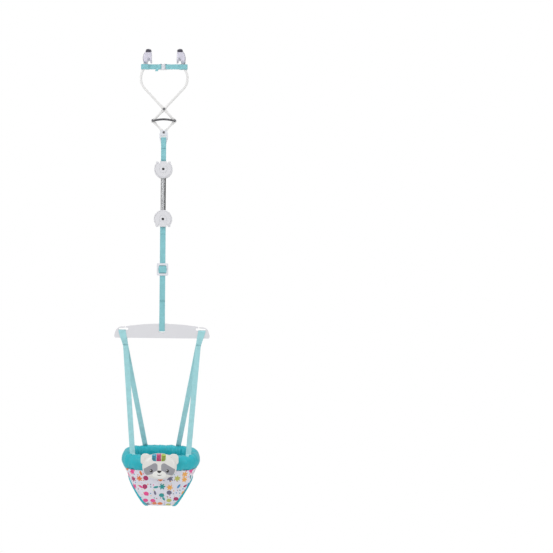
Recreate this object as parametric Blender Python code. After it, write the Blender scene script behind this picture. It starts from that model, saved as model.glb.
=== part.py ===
"""Baby doorway jumper, in metres with +Z up.

The origin is the middle of the door clamp's grip, between the two jaws. The viewer stands at -Y.
From the top down: scissor clamp, upper strap, spring unit, adjuster strap, spreader, seat and toy.
"""
import math

import bmesh
import bpy
from mathutils import Matrix, Vector

# Shared small sizes
GAP = 0.0003
WEBBING = 0.0016
ARC_STEP = math.radians(36)
HOOK_STEP = math.radians(30)
FINE_STEP = math.radians(24)
FLAT_ANGLE = math.radians(0.5)
ROUND_SIDES = 12
SMALL_SIDES = 8
GROOVE_SIDES = 20

# Clamp linkage: the arms cross at the pivot, and the links join the arms' lower ends to the bracket
PIVOT_Z = -0.212
KNEE_X = 0.044
KNEE_DROP = 0.047
KNEE_Z = PIVOT_Z - KNEE_DROP
BRACKET_PIVOT_Z = KNEE_Z - KNEE_DROP
ARM_TOP = (0.0716, -0.0295, 0)
ARM_BEND = (0.0915, -0.0680, 0.060)
ARM_ELBOW_X = 0.0955
ARM_ELBOW_RADIUS = 0.017
ROD_RADIUS = 0.00425
ARM_LAYER = 0.00265
FLAT_HALF_WIDTH = 0.0062
FLAT_HALF_THICKNESS = 0.0024
EYE_HALF_THICKNESS = 0.0025
FLAT_REACH = 0.020
FLAT_BLEND_SHARE = 0.35
ROD_SIDES = 8
PIVOT_EYE_RADIUS = 0.0085
KNEE_EYE_RADIUS = 0.0072
LINK_LAYER = 0.00215
LINK_HALF_THICKNESS = 0.0020
LINK_ROD_RADIUS = 0.0036
LINK_FLAT_HALF_WIDTH = 0.0055
LINK_EYE_RADIUS = 0.0068
LINK_FLAT_REACH = 0.0230
PIVOT_SHANK_RADIUS = 0.0030
PIVOT_HEAD_RADIUS = 0.0056
RIVET_SHANK_RADIUS = 0.0025
RIVET_PLAY = 0.0005
RIVET_HEAD_RADIUS = 0.0047
RIVET_HEAD_HEIGHT = 0.0020
SPRING_STUD_LENGTH = 0.0080

# Jaws: a pressed steel plate at the arm's end inside a soft boot, with a black cap on top
PLATE_INNER_X = 0.0675
PLATE_THICKNESS = 0.0030
PLATE_HALF_DEPTH = 0.020
PLATE_TOP_Z = 0.0225
PLATE_SHOULDER_Z = -0.008
PLATE_TAIL_Z = -0.022
PLATE_END_Z = -0.037
PLATE_TAIL_HALF_DEPTH = 0.0040
BOOT_HALF_DEPTH = 0.028
BOOT_EDGE = 0.0012
GRIP_X = 0.0505
BOOT_TOP_Z = 0.0158
BOOT_OUTLINE = (
    (GRIP_X, BOOT_TOP_Z, 0.0010),
    (GRIP_X, 0.0000, 0.0030),
    (0.0600, -0.0070, 0.0080),
    (0.0640, -0.0175, 0.0030),
    (0.0528, -0.0198, 0.0012),
    (0.0528, -0.0240, 0.0012),
    (0.0660, -0.0275, 0.0040),
    (0.0830, -0.0275, 0.0010),
    (0.0850, -0.0100, 0.0100),
    (0.0790, 0.0080, 0.0100),
    (0.0750, BOOT_TOP_Z, 0.0020),
)
CAP_OUTER_X = 0.0735
CAP_TOP_Z = 0.0262
CAP_TOP_RADIUS = 0.0035

# Clamp spring: a close-wound extension spring between studs on the two lower rivets
CLAMP_COIL_RADIUS = 0.0034
CLAMP_WIRE_RADIUS = 0.0013
CLAMP_PITCH = 0.00370
CLAMP_TURNS = 18
CLAMP_BOW = 0.0045
CURL_POINTS = 8
STUD_CLEARANCE = 0.0004

# Bracket under the clamp; the outlines' heights are from its rivet
BRACKET_HALF_DEPTH = 0.0082
BRACKET_EAR_INNER = 0.00445
BRACKET_BAR_HALF_DEPTH = 0.0040
BRACKET_TOP = ((-0.0160, 0.0100, 0.0140), (-0.0175, -0.0205, 0.0060), (-0.0150, -0.0280, 0.0015))
BRACKET_LOWER = ((-0.0175, -0.0190, 0.0020), (-0.0110, -0.0450, 0.0050))
BRACKET_EAR_FLOOR_DROP = 0.0105
BRACKET_EAR_FLOOR_Z = BRACKET_PIVOT_Z - BRACKET_EAR_FLOOR_DROP
BRACKET_SLOT_TOP_DROP = 0.0136
BRACKET_SLOT_TOP_Z = BRACKET_PIVOT_Z - BRACKET_SLOT_TOP_DROP
BRACKET_SLOT_FLOOR_DROP = 0.0204
BRACKET_SLOT_FLOOR_Z = BRACKET_PIVOT_Z - BRACKET_SLOT_FLOOR_DROP
BRACKET_SLOT_HALF_WIDTH = 0.0115
BRACKET_FOOT_Z = BRACKET_PIVOT_Z + BRACKET_LOWER[1][1]

# Safety strap and its buckle, across the arms under the jaws
SAFETY_TOP_Z = -0.0320
SAFETY_BOTTOM_Z = -0.0520
SAFETY_LOOP_INNER_X = 0.0650
SAFETY_LOOP_OUTER_X = 0.0905
SAFETY_LOOP_HALF_DEPTH = 0.0057
BUCKLE_OVERHANG = 0.0020
BUCKLE_TOP_Z = SAFETY_TOP_Z + BUCKLE_OVERHANG
BUCKLE_BOTTOM_Z = SAFETY_BOTTOM_Z - BUCKLE_OVERHANG
BUCKLE_HALF_DEPTH = 0.0055
BUCKLE_PIN_RADIUS = 0.0013
SOCKET_LEFT_X = -0.0175
SOCKET_RIGHT_X = 0.0005
SOCKET_PIN_X = -0.0145
PLUG_LEFT_X = 0.0008
PLUG_RIGHT_X = 0.0105
PLUG_PIN_X = 0.0075
BUCKLE_WALL = 0.0016
TONGUE_HALF_DEPTH = 0.0020
TONGUE_HALF_HEIGHT = 0.0070
TONGUE_END_X = -0.0085
TONGUE_ROOM = 0.0025
PRESS_PAD_RADIUS = 0.0035
PRESS_PAD_DEPTH = 0.0008

# Upper strap: one loop of webbing from the bracket to the upper housing
STRAP_HALF_WIDTH = 0.0102
STRAP_SPREAD = 0.0051
STRAP_CLOSED = 0.0011
STRAP_STITCH_DROP = 0.0170
STRAP_STITCH_LENGTH = 0.0520
STRAP_STITCH_TOP_Z = BRACKET_FOOT_Z - STRAP_STITCH_DROP
STRAP_STITCH_BOTTOM_Z = STRAP_STITCH_TOP_Z - STRAP_STITCH_LENGTH
STRAP_PIN_TURN = 0.0038
STRAP_CORNER = 0.0040
STRAP_BEND = 0.0100

# Spring unit: two equal round housings, the lower one turned upside down
HOUSING_DROP = 0.033
HOUSING_SPACING = 0.200
UPPER_HOUSING_Z = STRAP_STITCH_BOTTOM_Z - HOUSING_DROP
LOWER_HOUSING_Z = UPPER_HOUSING_Z - HOUSING_SPACING
HOUSING_RADIUS = 0.037
HOUSING_HALF_DEPTH = 0.0155
HOUSING_PARTING = 0.00015
HOUSING_FACE_SHARES = ((0, 1), (0.85, 1), (1, 0.94))
HORN_OUTER = (0.0300, 0.0262, 0.0040)
HORN_TIP = (0.0265, 0.0318, 0.0030)
HORN_INNER = (0.0200, 0.0290, 0.0025)
HORN_DIP = (0.0168, 0.0225, 0.0010)
BRIDGE_FOOT = (0.0135, 0.0225, 0.0010)
BRIDGE_TOP = (0.0135, 0.0310, 0.0025)
RIM_START = math.radians(38)
RIM_STEP = math.radians(17)
RIM_END = math.radians(-81)
FACE_RING_RADIUS = 0.0325
FACE_RING_WIDTH = 0.0016
FACE_RING_DEPTH = 0.0010
BOSS_RING_RADIUS = 0.0150
BOSS_RING_WIDTH = 0.0014
FACE_PANEL_HALF_WIDTH = 0.0155
FACE_PANEL_TOP_Z = 0.0330
FACE_PANEL_BOTTOM_Z = 0.0075
FACE_PANEL_CORNER = 0.0090
FACE_PANEL_DEPTH = 0.0012
STRAP_PIN_RADIUS = 0.0030
STRAP_PIN_HALF_LENGTH = 0.0150
STRAP_PIN_RISE = 0.0180
STRAP_POCKET_FLOOR = 0.0125
STRAP_POCKET_HALF_WIDTH = 0.0117
STRAP_POCKET_HALF_DEPTH = 0.0058
ANCHOR_RADIUS = 0.0025
ANCHOR_HALF_LENGTH = 0.0120
ANCHOR_DROP = -0.0174
COIL_ROOM_RADIUS = 0.0116
COIL_ROOM_TOP = -0.0240
HOOK_ROOM_HALF_WIDTH = 0.0116
HOOK_ROOM_TOP = -0.0100
HOOK_ROOM_HALF_DEPTH = 0.0023
CORD_ROOM_HALF_WIDTH = 0.0060
CORD_ROOM_TOP = -0.0115
CORD_ROOM_DEPTH = 0.0060
SIDE_POCKET_START = 0.0175
SIDE_POCKET_RADIUS = 0.0335
SIDE_POCKET_DEPTH = 0.0120
SIDE_POCKET_HALF_HEIGHT = 0.0200
HOUSING_SCREW_HEAD_RADIUS = 0.0050
HOUSING_SCREW_HEAD_DEPTH = 0.0030
HOUSING_SCREW_SHANK_RADIUS = 0.0020
HOUSING_SCREW_LENGTH = 0.0260
SCREW_SLOT_WIDTH = 0.0012
SCREW_SLOT_DEPTH = 0.0010

# Main spring and the safety cord inside it
MAIN_COIL_RADIUS = 0.0088
MAIN_WIRE_RADIUS = 0.0022
MAIN_PITCH = 0.00560
MAIN_TURNS = 26
CORD_RADIUS = 0.0012
CORD_LAYER = 0.0040
CORD_BEND = 0.0040
CORD_CLOSED = 0.0020
CORD_TAPER = 0.0140

# Height adjuster: slide buckle and the two lengths of strap
SLIDER_DROP = 0.201
SLIDER_Z = LOWER_HOUSING_Z - SLIDER_DROP
SLIDER_HALF_WIDTH = 0.023
SLIDER_HALF_HEIGHT = 0.025
SLIDER_HALF_DEPTH = 0.0025
SLIDER_CORNER = 0.0050
SLIDER_EDGE = 0.0008
WINDOW_HALF_WIDTH = 0.0165
WINDOW_HALF_HEIGHT = 0.0162
CENTRE_BAR_HALF_HEIGHT = 0.0050
CENTRE_BAR_HALF_DEPTH = 0.0015
ADJUSTER_HALF_WIDTH = 0.0112
ADJUSTER_SEWN_DROP = 0.059
BEHIND_FIRST = 0.0037
BEHIND_SECOND = 0.0059
ROUND_CENTRE_BAR = 0.0026
OVER_CENTRE_BAR = -0.0046
TOP_BAR_PASS_RISE = 0.0155
FRONT_PASS_RISE = 0.0090
FRONT_LEAVE_DROP = 0.0080
TUCK_LAYER = -0.0030
TUCK_DROP = 0.0128
BAND_LEAVE_DROP = 0.0060
BAND_PASS_DROP = 0.0150
BAND_BACK_PASS_DROP = 0.0110
BAND_CLEAR_DROP = 0.0260
BAND_CLOSED_DROP = 0.0510
BAND_CLOSED_RISE = 0.0705
BAND_SPREAD_RISE = 0.0325
SHARP_BEND = 0.0012

# Spreader bar; the heights in its outline are from the floor of its hook slots
HOOK_DROP = 0.245
HOOK_Z = SLIDER_Z - HOOK_DROP
SPREADER_TOP_RISE = 0.027
SPREADER_TOP_Z = HOOK_Z + SPREADER_TOP_RISE
SPREADER_FLOOR_DROP = 0.030
SPREADER_FLOOR_Z = HOOK_Z - SPREADER_FLOOR_DROP
SPREADER_HALF_DEPTH = 0.010
SPREADER_EDGE = 0.0012
SPREADER_BODY_X = 0.1455
SPREADER_BODY_RISE = 0.0155
SPREADER_THROAT_X = 0.1490
SPREADER_FINGER_RISE = 0.0150
SPREADER_FINGER_BEND = (0.1830, 0.0135, 0.026)
SPREADER_TIP = (0.1915, -0.0230, 0.005)
SPREADER_HEEL = (0.1870, -0.0300, 0.004)
HOOK_SLOT_INNER = (0.1350, 0, 0.0035)
HOOK_SLOT_OUTER = (0.1765, 0, 0.0040)
HOOK_SLOT_TOP = (0.1740, 0.0085, 0.0050)
HOOK_SLOT_ENTRY_RISE = 0.0105
HOOK_TIP_RADIUS = 0.0012
SPREADER_ARCH_POINTS = 5
STRAP_SLOT_HEIGHT = 0.0070
STRAP_SLOT_DROP = 0.0015
STRAP_SLOT_TOP_Z = HOOK_Z - STRAP_SLOT_DROP
STRAP_SLOT_FLOOR_Z = STRAP_SLOT_TOP_Z - STRAP_SLOT_HEIGHT
STRAP_SLOT_HALF_WIDTH = 0.0120
SPREADER_WALL = 0.0035
SPREADER_POCKET_START = 0.018
SPREADER_POCKET_END = 0.128

# Seat straps, from the spreader's hooks to the ring
HOOK_X = 0.160
SEAT_STRAP_HALF_WIDTH = 0.0105
SEAT_STRAP_SEWN_DROP = 0.021
SEAT_STRAP_SEWN_LENGTH = 0.012
SEAT_STRAP_SEWN_INSET = 0.015
SEAT_STRAP_SEWN_TOP_Z = SPREADER_FLOOR_Z - SEAT_STRAP_SEWN_DROP
SEAT_STRAP_SEWN_Z = SEAT_STRAP_SEWN_TOP_Z - SEAT_STRAP_SEWN_LENGTH
SEAT_STRAP_END_LIFT = 0.0010

# Seat ring, seat shell and leg bindings
RING_HALF_WIDTH = 0.132
RING_HALF_DEPTH = 0.105
RING_DROP = 0.478
RING_Z = SPREADER_FLOOR_Z - RING_DROP
FRONT_ANCHOR_INSET = 0.022
REAR_ANCHOR_INSET = 0.063
FRONT_ANCHOR_X = RING_HALF_WIDTH - FRONT_ANCHOR_INSET
REAR_ANCHOR_X = RING_HALF_WIDTH - REAR_ANCHOR_INSET
RING_SECTION_HALF_WIDTH = 0.024
RING_SECTION_HALF_HEIGHT = 0.031
RING_POWER = 3
RING_STEPS = 40
RING_SIDES = 10
SHELL_DROP = 0.0288
SHELL_TOP_Z = RING_Z - SHELL_DROP
SHELL_HEIGHT = 0.1594
SHELL_WALL = 0.0040
SHELL_FLARE_WIDTH = 0.014
SHELL_FLARE_DEPTH = 0.013
SHELL_HALF_WIDTH = RING_HALF_WIDTH + SHELL_FLARE_WIDTH
SHELL_HALF_DEPTH = RING_HALF_DEPTH + SHELL_FLARE_DEPTH
SHELL_WIDTH_TAPER = 0.041
SHELL_DEPTH_TAPER = 0.030
SHELL_LEVEL_SHARES = (0, 0.16, 0.34, 0.52, 0.68, 0.82, 0.92, 0.98)
SHELL_STEPS = 32
LEG_TOP_INSET = 0.018
LEG_TOP_DROP = 0.0562
LEG_SLOPE_WIDTH = 0.064
LEG_SLOPE_HEIGHT = 0.100
LEG_TOP_X = SHELL_HALF_WIDTH - LEG_TOP_INSET
LEG_TOP_Z = SHELL_TOP_Z - LEG_TOP_DROP
LEG_BOTTOM_X = LEG_TOP_X - LEG_SLOPE_WIDTH
LEG_BOTTOM_Z = LEG_TOP_Z - LEG_SLOPE_HEIGHT
BINDING_WIDTH = 0.0120
BINDING_HALF_THICKNESS = 0.0030
LEG_CUT_REACH = 0.300
BINDING_SIDES = 6
LEG_STEPS = 24

# Toy on the front of the ring
TOY_LEAN = math.radians(-4)
TOY_HALF_WIDTH = 0.060
TOY_HALF_HEIGHT = 0.0475
TOY_POWER = 2.5
EAR_X = 0.052
EAR_Z = 0.025
EAR_RADIUS = 0.020
TOY_FRONT_DEPTH = 0.024
TOY_BACK_DEPTH = 0.014
TOY_STAND_OFF = 0.010
TOY_SAG = 0.002
TOY_CENTRE = (0, -RING_HALF_DEPTH - RING_SECTION_HALF_WIDTH - TOY_STAND_OFF - TOY_BACK_DEPTH,
              RING_Z - TOY_SAG)
TOY_WALL = 0.0024
TOY_STEPS = 36
DOME_SHARES = ((0, 1), (0.55, 0.97), (0.88, 0.80), (1, 0.46))
LENS_EDGES_X = (-0.0295, -0.0115, 0.0070, 0.0250)
LENS_BOTTOM_Z = 0.0205
LENS_CORNER = 0.0050
LENS_BACK_Y = -0.0040
LENS_RIB = 0.0008
BOARD_HALF_WIDTH = 0.0250
BOARD_HALF_HEIGHT = 0.0100
BOARD_Z = 0.0180
BOARD_Y = -0.0030
BOARD_THICKNESS = 0.0016
LAMP_RADIUS = 0.0025
LAMP_HEIGHT = 0.0060
CELL_RADIUS = 0.0058
CELL_THICKNESS = 0.0054
CELL_SPACING = 0.0125
CELL_Z = -0.0180
SPEAKER_RADIUS = 0.0100
SPEAKER_THICKNESS = 0.0050
SPEAKER_Z = -0.0150
DOOR_MARGIN = 0.0012
DOOR_HALF_WIDTH = CELL_SPACING + CELL_RADIUS + DOOR_MARGIN
DOOR_HALF_HEIGHT = 0.0105
DOOR_THICKNESS = 0.0018
DOOR_CORNER = 0.0020
TOY_SCREW_RADIUS = 0.0022
TOY_SCREW_HEIGHT = 0.0012
TOY_SCREW_PLACES = ((-0.040, 0.022), (0.040, 0.022), (-0.040, -0.020), (0.040, -0.020))
SWITCH_HALF_WIDTH = 0.0030
SWITCH_HALF_HEIGHT = 0.0045
SWITCH_HALF_DEPTH = 0.0020
SWITCH_TRAVEL = 0.0040
SWITCH_STAND_OUT = 0.0028
LUG_HALF_WIDTH = 0.0110
LUG_OUTER_HALF_WIDTH = 0.0145
LUG_PIN_RADIUS = 0.0018
LUG_REACH = 0.0075
LUG_Z = 0.0080
TOY_STRAP_HALF_WIDTH = 0.0095
TOY_STRAP_LEAVE = math.radians(150)
TOY_STRAP_MEET = math.radians(210)
TOY_STRAP_PIN_START = math.radians(235)
TOY_STRAP_PIN_END = math.radians(125)
TOY_STRAP_STEPS = 20
SPEAKER_Y = -0.0200
CELL_Y = 0.0052
CELL_STRIP_HALF_HEIGHT = 0.0020
CELL_STRIP_THICKNESS = 0.0006
POST_RADIUS = 0.0030
POST_END_Y = 0.0006
SCREW_SHANK_RADIUS = 0.0011
TOY_SCREW_LENGTH = 0.0085
BOARD_POST_X = 0.0200
SWITCH_Y = 0.0075
SWITCH_ROOT = 0.0045

# Colours, roughness and metallic shares
WHITE = (0.76, 0.77, 0.77)
DISC_WHITE = (0.71, 0.71, 0.75)
BOOT_TINT = (0.62, 0.60, 0.78)
BLACK = (0.02, 0.02, 0.02)
STEEL = (0.55, 0.55, 0.56)
DARK_STEEL = (0.16, 0.16, 0.16)
TURQUOISE = (0.27, 0.60, 0.65)
PALE_TURQUOISE = (0.43, 0.74, 0.77)
TEAL = (0.02, 0.46, 0.51)
PRINT_GROUND = (0.76, 0.76, 0.83)
TOY_SHELL = (0.75, 0.74, 0.73)
LENS_BLUE = (0.05, 0.51, 0.68)
LENS_PINK = (0.75, 0.06, 0.26)
LENS_LIME = (0.54, 0.68, 0.05)
GREEN_BOARD = (0.03, 0.22, 0.08)


def clear_scene():
    for obj in list(bpy.data.objects):
        bpy.data.objects.remove(obj, do_unlink=True)


def material(name, colour, roughness, metallic=0.0):
    made = bpy.data.materials.new(name)
    made.use_nodes = True
    shader = made.node_tree.nodes["Principled BSDF"]
    shader.inputs["Base Color"].default_value = (*colour, 1)
    shader.inputs["Roughness"].default_value = roughness
    shader.inputs["Metallic"].default_value = metallic
    made.diffuse_color = (*colour, 1)
    return made


def add(name, bm, finish, pivot=(0, 0, 0), smooth=True):
    """Link a new object whose mesh is the bmesh and whose origin is the pivot."""
    bmesh.ops.recalc_face_normals(bm, faces=bm.faces)
    bmesh.ops.translate(bm, verts=bm.verts, vec=-Vector(pivot))
    mesh = bpy.data.meshes.new(name)
    bm.to_mesh(mesh)
    bm.free()
    mesh.materials.append(finish)
    if smooth:
        mesh.shade_smooth()
        mesh.set_sharp_from_angle(angle=math.radians(40))
    obj = bpy.data.objects.new(name, mesh)
    obj.location = pivot
    bpy.context.collection.objects.link(obj)
    return obj


def settle(obj):
    """Keep the object's evaluated mesh in place of its modifiers, without edges across flat faces."""
    bpy.context.view_layer.update()
    seen = obj.evaluated_get(bpy.context.evaluated_depsgraph_get())
    mesh = bpy.data.meshes.new_from_object(seen)
    bm = bmesh.new()
    bm.from_mesh(mesh)
    bmesh.ops.dissolve_limit(bm, angle_limit=FLAT_ANGLE, verts=bm.verts, edges=bm.edges)
    bm.to_mesh(mesh)
    bm.free()
    obj.modifiers.clear()
    obj.data = mesh
    mesh.shade_smooth()
    mesh.set_sharp_from_angle(angle=math.radians(40))


def boolean(obj, steps):
    """Apply (operation, bmesh) steps in order with exact booleans."""
    tools = []
    for operation, bm in steps:
        tool = add(obj.name + "_tool", bm, None, smooth=False)
        tool.hide_render = True
        tool.display_type = "WIRE"
        modifier = obj.modifiers.new(tool.name, "BOOLEAN")
        modifier.operation = operation
        modifier.solver = "EXACT"
        modifier.object = tool
        tools.append(tool)
    settle(obj)
    for tool in tools:
        bpy.data.objects.remove(tool, do_unlink=True)


def bevel(obj, width, segments=1, angle=math.radians(35)):
    modifier = obj.modifiers.new("edges", "BEVEL")
    modifier.width = width
    modifier.segments = segments
    modifier.limit_method = "ANGLE"
    modifier.angle_limit = angle
    settle(obj)


def rounded(corners, closed=True, step=ARC_STEP):
    """Points along the corners, each an (a, b, radius), with an arc in each corner's place."""
    points = []
    count = len(corners)
    for index, (a, b, radius) in enumerate(corners):
        here = Vector((a, b))
        if radius == 0 or (not closed and index in (0, count - 1)):
            points.append(here)
            continue
        back = (Vector(corners[index - 1][:2]) - here).normalized()
        ahead = (Vector(corners[(index + 1) % count][:2]) - here).normalized()
        half = back.angle(ahead) / 2
        centre = here + (back + ahead).normalized() * (radius / math.sin(half))
        first = here + back * (radius / math.tan(half)) - centre
        last = here + ahead * (radius / math.tan(half)) - centre
        turn = math.atan2(first.x * last.y - first.y * last.x, first.dot(last))
        parts = max(1, math.ceil(abs(turn) / step))
        for part in range(parts + 1):
            angle = turn * part / parts
            points.append(centre + Matrix.Rotation(angle, 2) @ first)
    return points


def mirrored(half):
    """Corners of a left half and their mirror images, as one closed run."""
    return list(half) + [(-a, b, radius) for a, b, radius in reversed(half)]


def raised(corners, height):
    """The same corners, their second coordinate counted from a height."""
    return [(a, b + height, radius) for a, b, radius in corners]


def at(across, a, b, depth):
    """Point of a flat outline at a depth along the axis it stands across."""
    if across == "X":
        return Vector((depth, a, b))
    if across == "Y":
        return Vector((a, depth, b))
    return Vector((a, b, depth))


def prism(outline, low, high, across="Y"):
    """Closed solid: the outline from the low depth to the high depth."""
    bm = bmesh.new()
    near = [bm.verts.new(at(across, a, b, low)) for a, b in outline]
    far = [bm.verts.new(at(across, a, b, high)) for a, b in outline]
    bm.faces.new(near)
    bm.faces.new(far)
    for index in range(len(near)):
        after = (index + 1) % len(near)
        bm.faces.new((near[index], near[after], far[after], far[index]))
    bmesh.ops.recalc_face_normals(bm, faces=bm.faces)
    return bm


def block(low, high):
    return prism([(low[0], low[2]), (high[0], low[2]), (high[0], high[2]), (low[0], high[2])],
                 low[1], high[1])


def circle(a, b, radius, sides=ROUND_SIDES):
    turn = 2 * math.pi / sides
    return [(a + radius * math.cos(turn * k), b + radius * math.sin(turn * k)) for k in range(sides)]


def skin(rings, closed=False, pole_start=None, pole_end=None):
    """Closed solid through rings of points; open ends get a cap or a pole."""
    bm = bmesh.new()
    loops = [[bm.verts.new(point) for point in ring] for ring in rings]
    pairs = list(zip(loops, loops[1:]))
    if closed:
        pairs.append((loops[-1], loops[0]))
    for near, far in pairs:
        for index in range(len(near)):
            after = (index + 1) % len(near)
            bm.faces.new((near[index], near[after], far[after], far[index]))
    for loop, pole in ((loops[0], pole_start), (loops[-1], pole_end)):
        if closed:
            break
        if pole is None:
            bm.faces.new(loop)
            continue
        tip = bm.verts.new(pole)
        for index in range(len(loop)):
            bm.faces.new((loop[index], loop[(index + 1) % len(loop)], tip))
    bmesh.ops.recalc_face_normals(bm, faces=bm.faces)
    return bm


def turned(profile, centre, sides=ROUND_SIDES):
    """Solid of revolution about a line along Y through the centre; profile is (radius, y) pairs."""
    bm = bmesh.new()
    x, z = centre
    points = [bm.verts.new((x + radius, y, z)) for radius, y in profile]
    edges = [bm.edges.new((points[k], points[k + 1])) for k in range(len(points) - 1)]
    bmesh.ops.spin(bm, geom=points + edges, cent=(x, 0, z), axis=(0, 1, 0), angle=2 * math.pi,
                   steps=sides, use_merge=True)
    bmesh.ops.remove_doubles(bm, verts=bm.verts, dist=GAP / 10)
    bmesh.ops.recalc_face_normals(bm, faces=bm.faces)
    return bm


def webbing(path, low, high, across="X", closed=False, thickness=WEBBING):
    """Strap whose middle line is the path and whose width runs from low to high."""
    rings = []
    count = len(path)
    for index, point in enumerate(path):
        before = path[index - 1] if closed or index else point
        after = path[(index + 1) % count] if closed or index < count - 1 else point
        run = (after - before).normalized()
        side = Vector((-run.y, run.x)) * (thickness / 2)
        inner = point - side
        outer = point + side
        rings.append([
            at(across, inner.x, inner.y, low),
            at(across, inner.x, inner.y, high),
            at(across, outer.x, outer.y, high),
            at(across, outer.x, outer.y, low),
        ])
    return skin(rings, closed)


def wire(name, points, radius, finish, pivot, closed=False):
    """Round wire along the points, as a curve with a bevel and filled ends."""
    curve = bpy.data.curves.new(name, "CURVE")
    curve.dimensions = "3D"
    curve.bevel_depth = radius
    curve.bevel_resolution = 1
    curve.use_fill_caps = True
    curve.materials.append(finish)
    spline = curve.splines.new("POLY")
    spline.points.add(len(points) - 1)
    spline.use_cyclic_u = closed
    spline.use_smooth = True
    for place, point in zip(spline.points, points):
        place.co = (*(Vector(point) - Vector(pivot)), 1)
    obj = bpy.data.objects.new(name, curve)
    obj.location = pivot
    bpy.context.collection.objects.link(obj)
    return obj


def least_gap(name, points, radius, turn_points):
    """Print the least gap between a coil's neighbouring turns, measured on its points."""
    least = min(
        (Vector(a) - Vector(b)).length
        for index, a in enumerate(points)
        for b in points[index + turn_points // 2 + 1:index + 2 * turn_points]
    )
    print(name, "least gap to itself, mm:", round((least - 2 * radius) * 1000, 3))


def sided(bm, side):
    """Mirror a right-hand shape to the left where the side is -1."""
    bmesh.ops.scale(bm, verts=bm.verts, vec=(side, 1, 1))
    bmesh.ops.recalc_face_normals(bm, faces=bm.faces)
    return bm


def body(name, pivot, pieces, parent=None):
    """Empty on a joint's axis that carries the pieces which move together."""
    empty = bpy.data.objects.new(name, None)
    empty.location = pivot
    bpy.context.collection.objects.link(empty)
    bpy.context.view_layer.update()
    if parent:
        empty.parent = parent
        empty.matrix_parent_inverse = parent.matrix_world.inverted()
        bpy.context.view_layer.update()
    for piece in pieces:
        piece.parent = empty
        piece.matrix_parent_inverse = empty.matrix_world.inverted()
    return empty


def stations(start, end, flats, reach):
    """Points on a straight run, with more of them where the rod is pressed flat."""
    length = (end - start).length
    run = (end - start).normalized()
    distances = {0, length}
    for flat in flats:
        middle = (flat - start).dot(run)
        for share in (-1, FLAT_BLEND_SHARE - 1, 1 - FLAT_BLEND_SHARE, 1):
            distance = middle + reach * share
            if 0 < distance < length:
                distances.add(distance)
    return [start + run * distance for distance in sorted(distances)]


def rod(path, flats, layer, radius, half_width, half_thickness, reach):
    """Round rod along the path, pressed flat near each flat's centre."""
    rings = []
    for index, point in enumerate(path):
        run = (path[min(index + 1, len(path) - 1)] - path[max(index - 1, 0)]).normalized()
        side = Vector((-run.y, run.x))
        distance = min((point - flat).length for flat in flats)
        share = min(1, max(0, (reach - distance) / (reach * FLAT_BLEND_SHARE)))
        wide = radius + (half_width - radius) * share
        deep = radius + (half_thickness - radius) * share
        ring = []
        for k in range(ROD_SIDES):
            angle = 2 * math.pi * k / ROD_SIDES
            place = point + side * wide * math.cos(angle)
            ring.append(at("Y", place.x, place.y, layer + deep * math.sin(angle)))
        rings.append(ring)
    return skin(rings)


def plate_outline(layer, grow=0):
    """Steel jaw plate seen from the side, as (y, z): wide in the boot, narrow where it meets the rod."""
    wide = PLATE_HALF_DEPTH + grow
    near = layer - PLATE_TAIL_HALF_DEPTH - grow
    far = layer + PLATE_TAIL_HALF_DEPTH + grow
    return [
        (-wide, PLATE_TOP_Z + grow),
        (wide, PLATE_TOP_Z + grow),
        (wide, PLATE_SHOULDER_Z - grow),
        (far, PLATE_TAIL_Z),
        (far, PLATE_END_Z - grow),
        (near, PLATE_END_Z - grow),
        (near, PLATE_TAIL_Z),
        (-wide, PLATE_SHOULDER_Z - grow),
    ]


def plate_room(side):
    layer = side * ARM_LAYER
    return sided(prism(plate_outline(layer, GAP), PLATE_INNER_X - GAP,
                       PLATE_INNER_X + PLATE_THICKNESS + GAP, "X"), side)


def arm(name, side, finish):
    """Clamp arm whose upper end is on the given side and whose lower end crosses to the other."""
    layer = side * ARM_LAYER
    slope = (PIVOT_Z - KNEE_Z) / KNEE_X
    elbow = (ARM_ELBOW_X, PIVOT_Z + ARM_ELBOW_X * slope, ARM_ELBOW_RADIUS)
    knee = Vector((-KNEE_X, KNEE_Z))
    pivot = Vector((0, PIVOT_Z))
    bends = rounded([ARM_TOP, ARM_BEND, elbow, (knee.x, knee.y, 0)], closed=False, step=FINE_STEP)
    path = bends[:-2] + stations(bends[-2], knee, (pivot, knee), FLAT_REACH)
    shape = rod(path, (pivot, knee), layer, ROD_RADIUS, FLAT_HALF_WIDTH, FLAT_HALF_THICKNESS, FLAT_REACH)
    near = layer - EYE_HALF_THICKNESS
    far = layer + EYE_HALF_THICKNESS
    obj = add(name, sided(shape, side), finish, (0, 0, PIVOT_Z))
    plate = prism(plate_outline(layer), PLATE_INNER_X, PLATE_INNER_X + PLATE_THICKNESS, "X")
    boolean(obj, (
        ("UNION", prism(circle(0, PIVOT_Z, PIVOT_EYE_RADIUS), near, far)),
        ("UNION", sided(prism(circle(*knee, KNEE_EYE_RADIUS), near, far), side)),
        ("UNION", sided(plate, side)),
        ("DIFFERENCE", prism(circle(0, PIVOT_Z, PIVOT_SHANK_RADIUS + GAP), near - GAP, far + GAP)),
        ("DIFFERENCE",
         sided(prism(circle(*knee, RIVET_SHANK_RADIUS + GAP), near - GAP, far + GAP), side)),
    ))
    return obj


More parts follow.
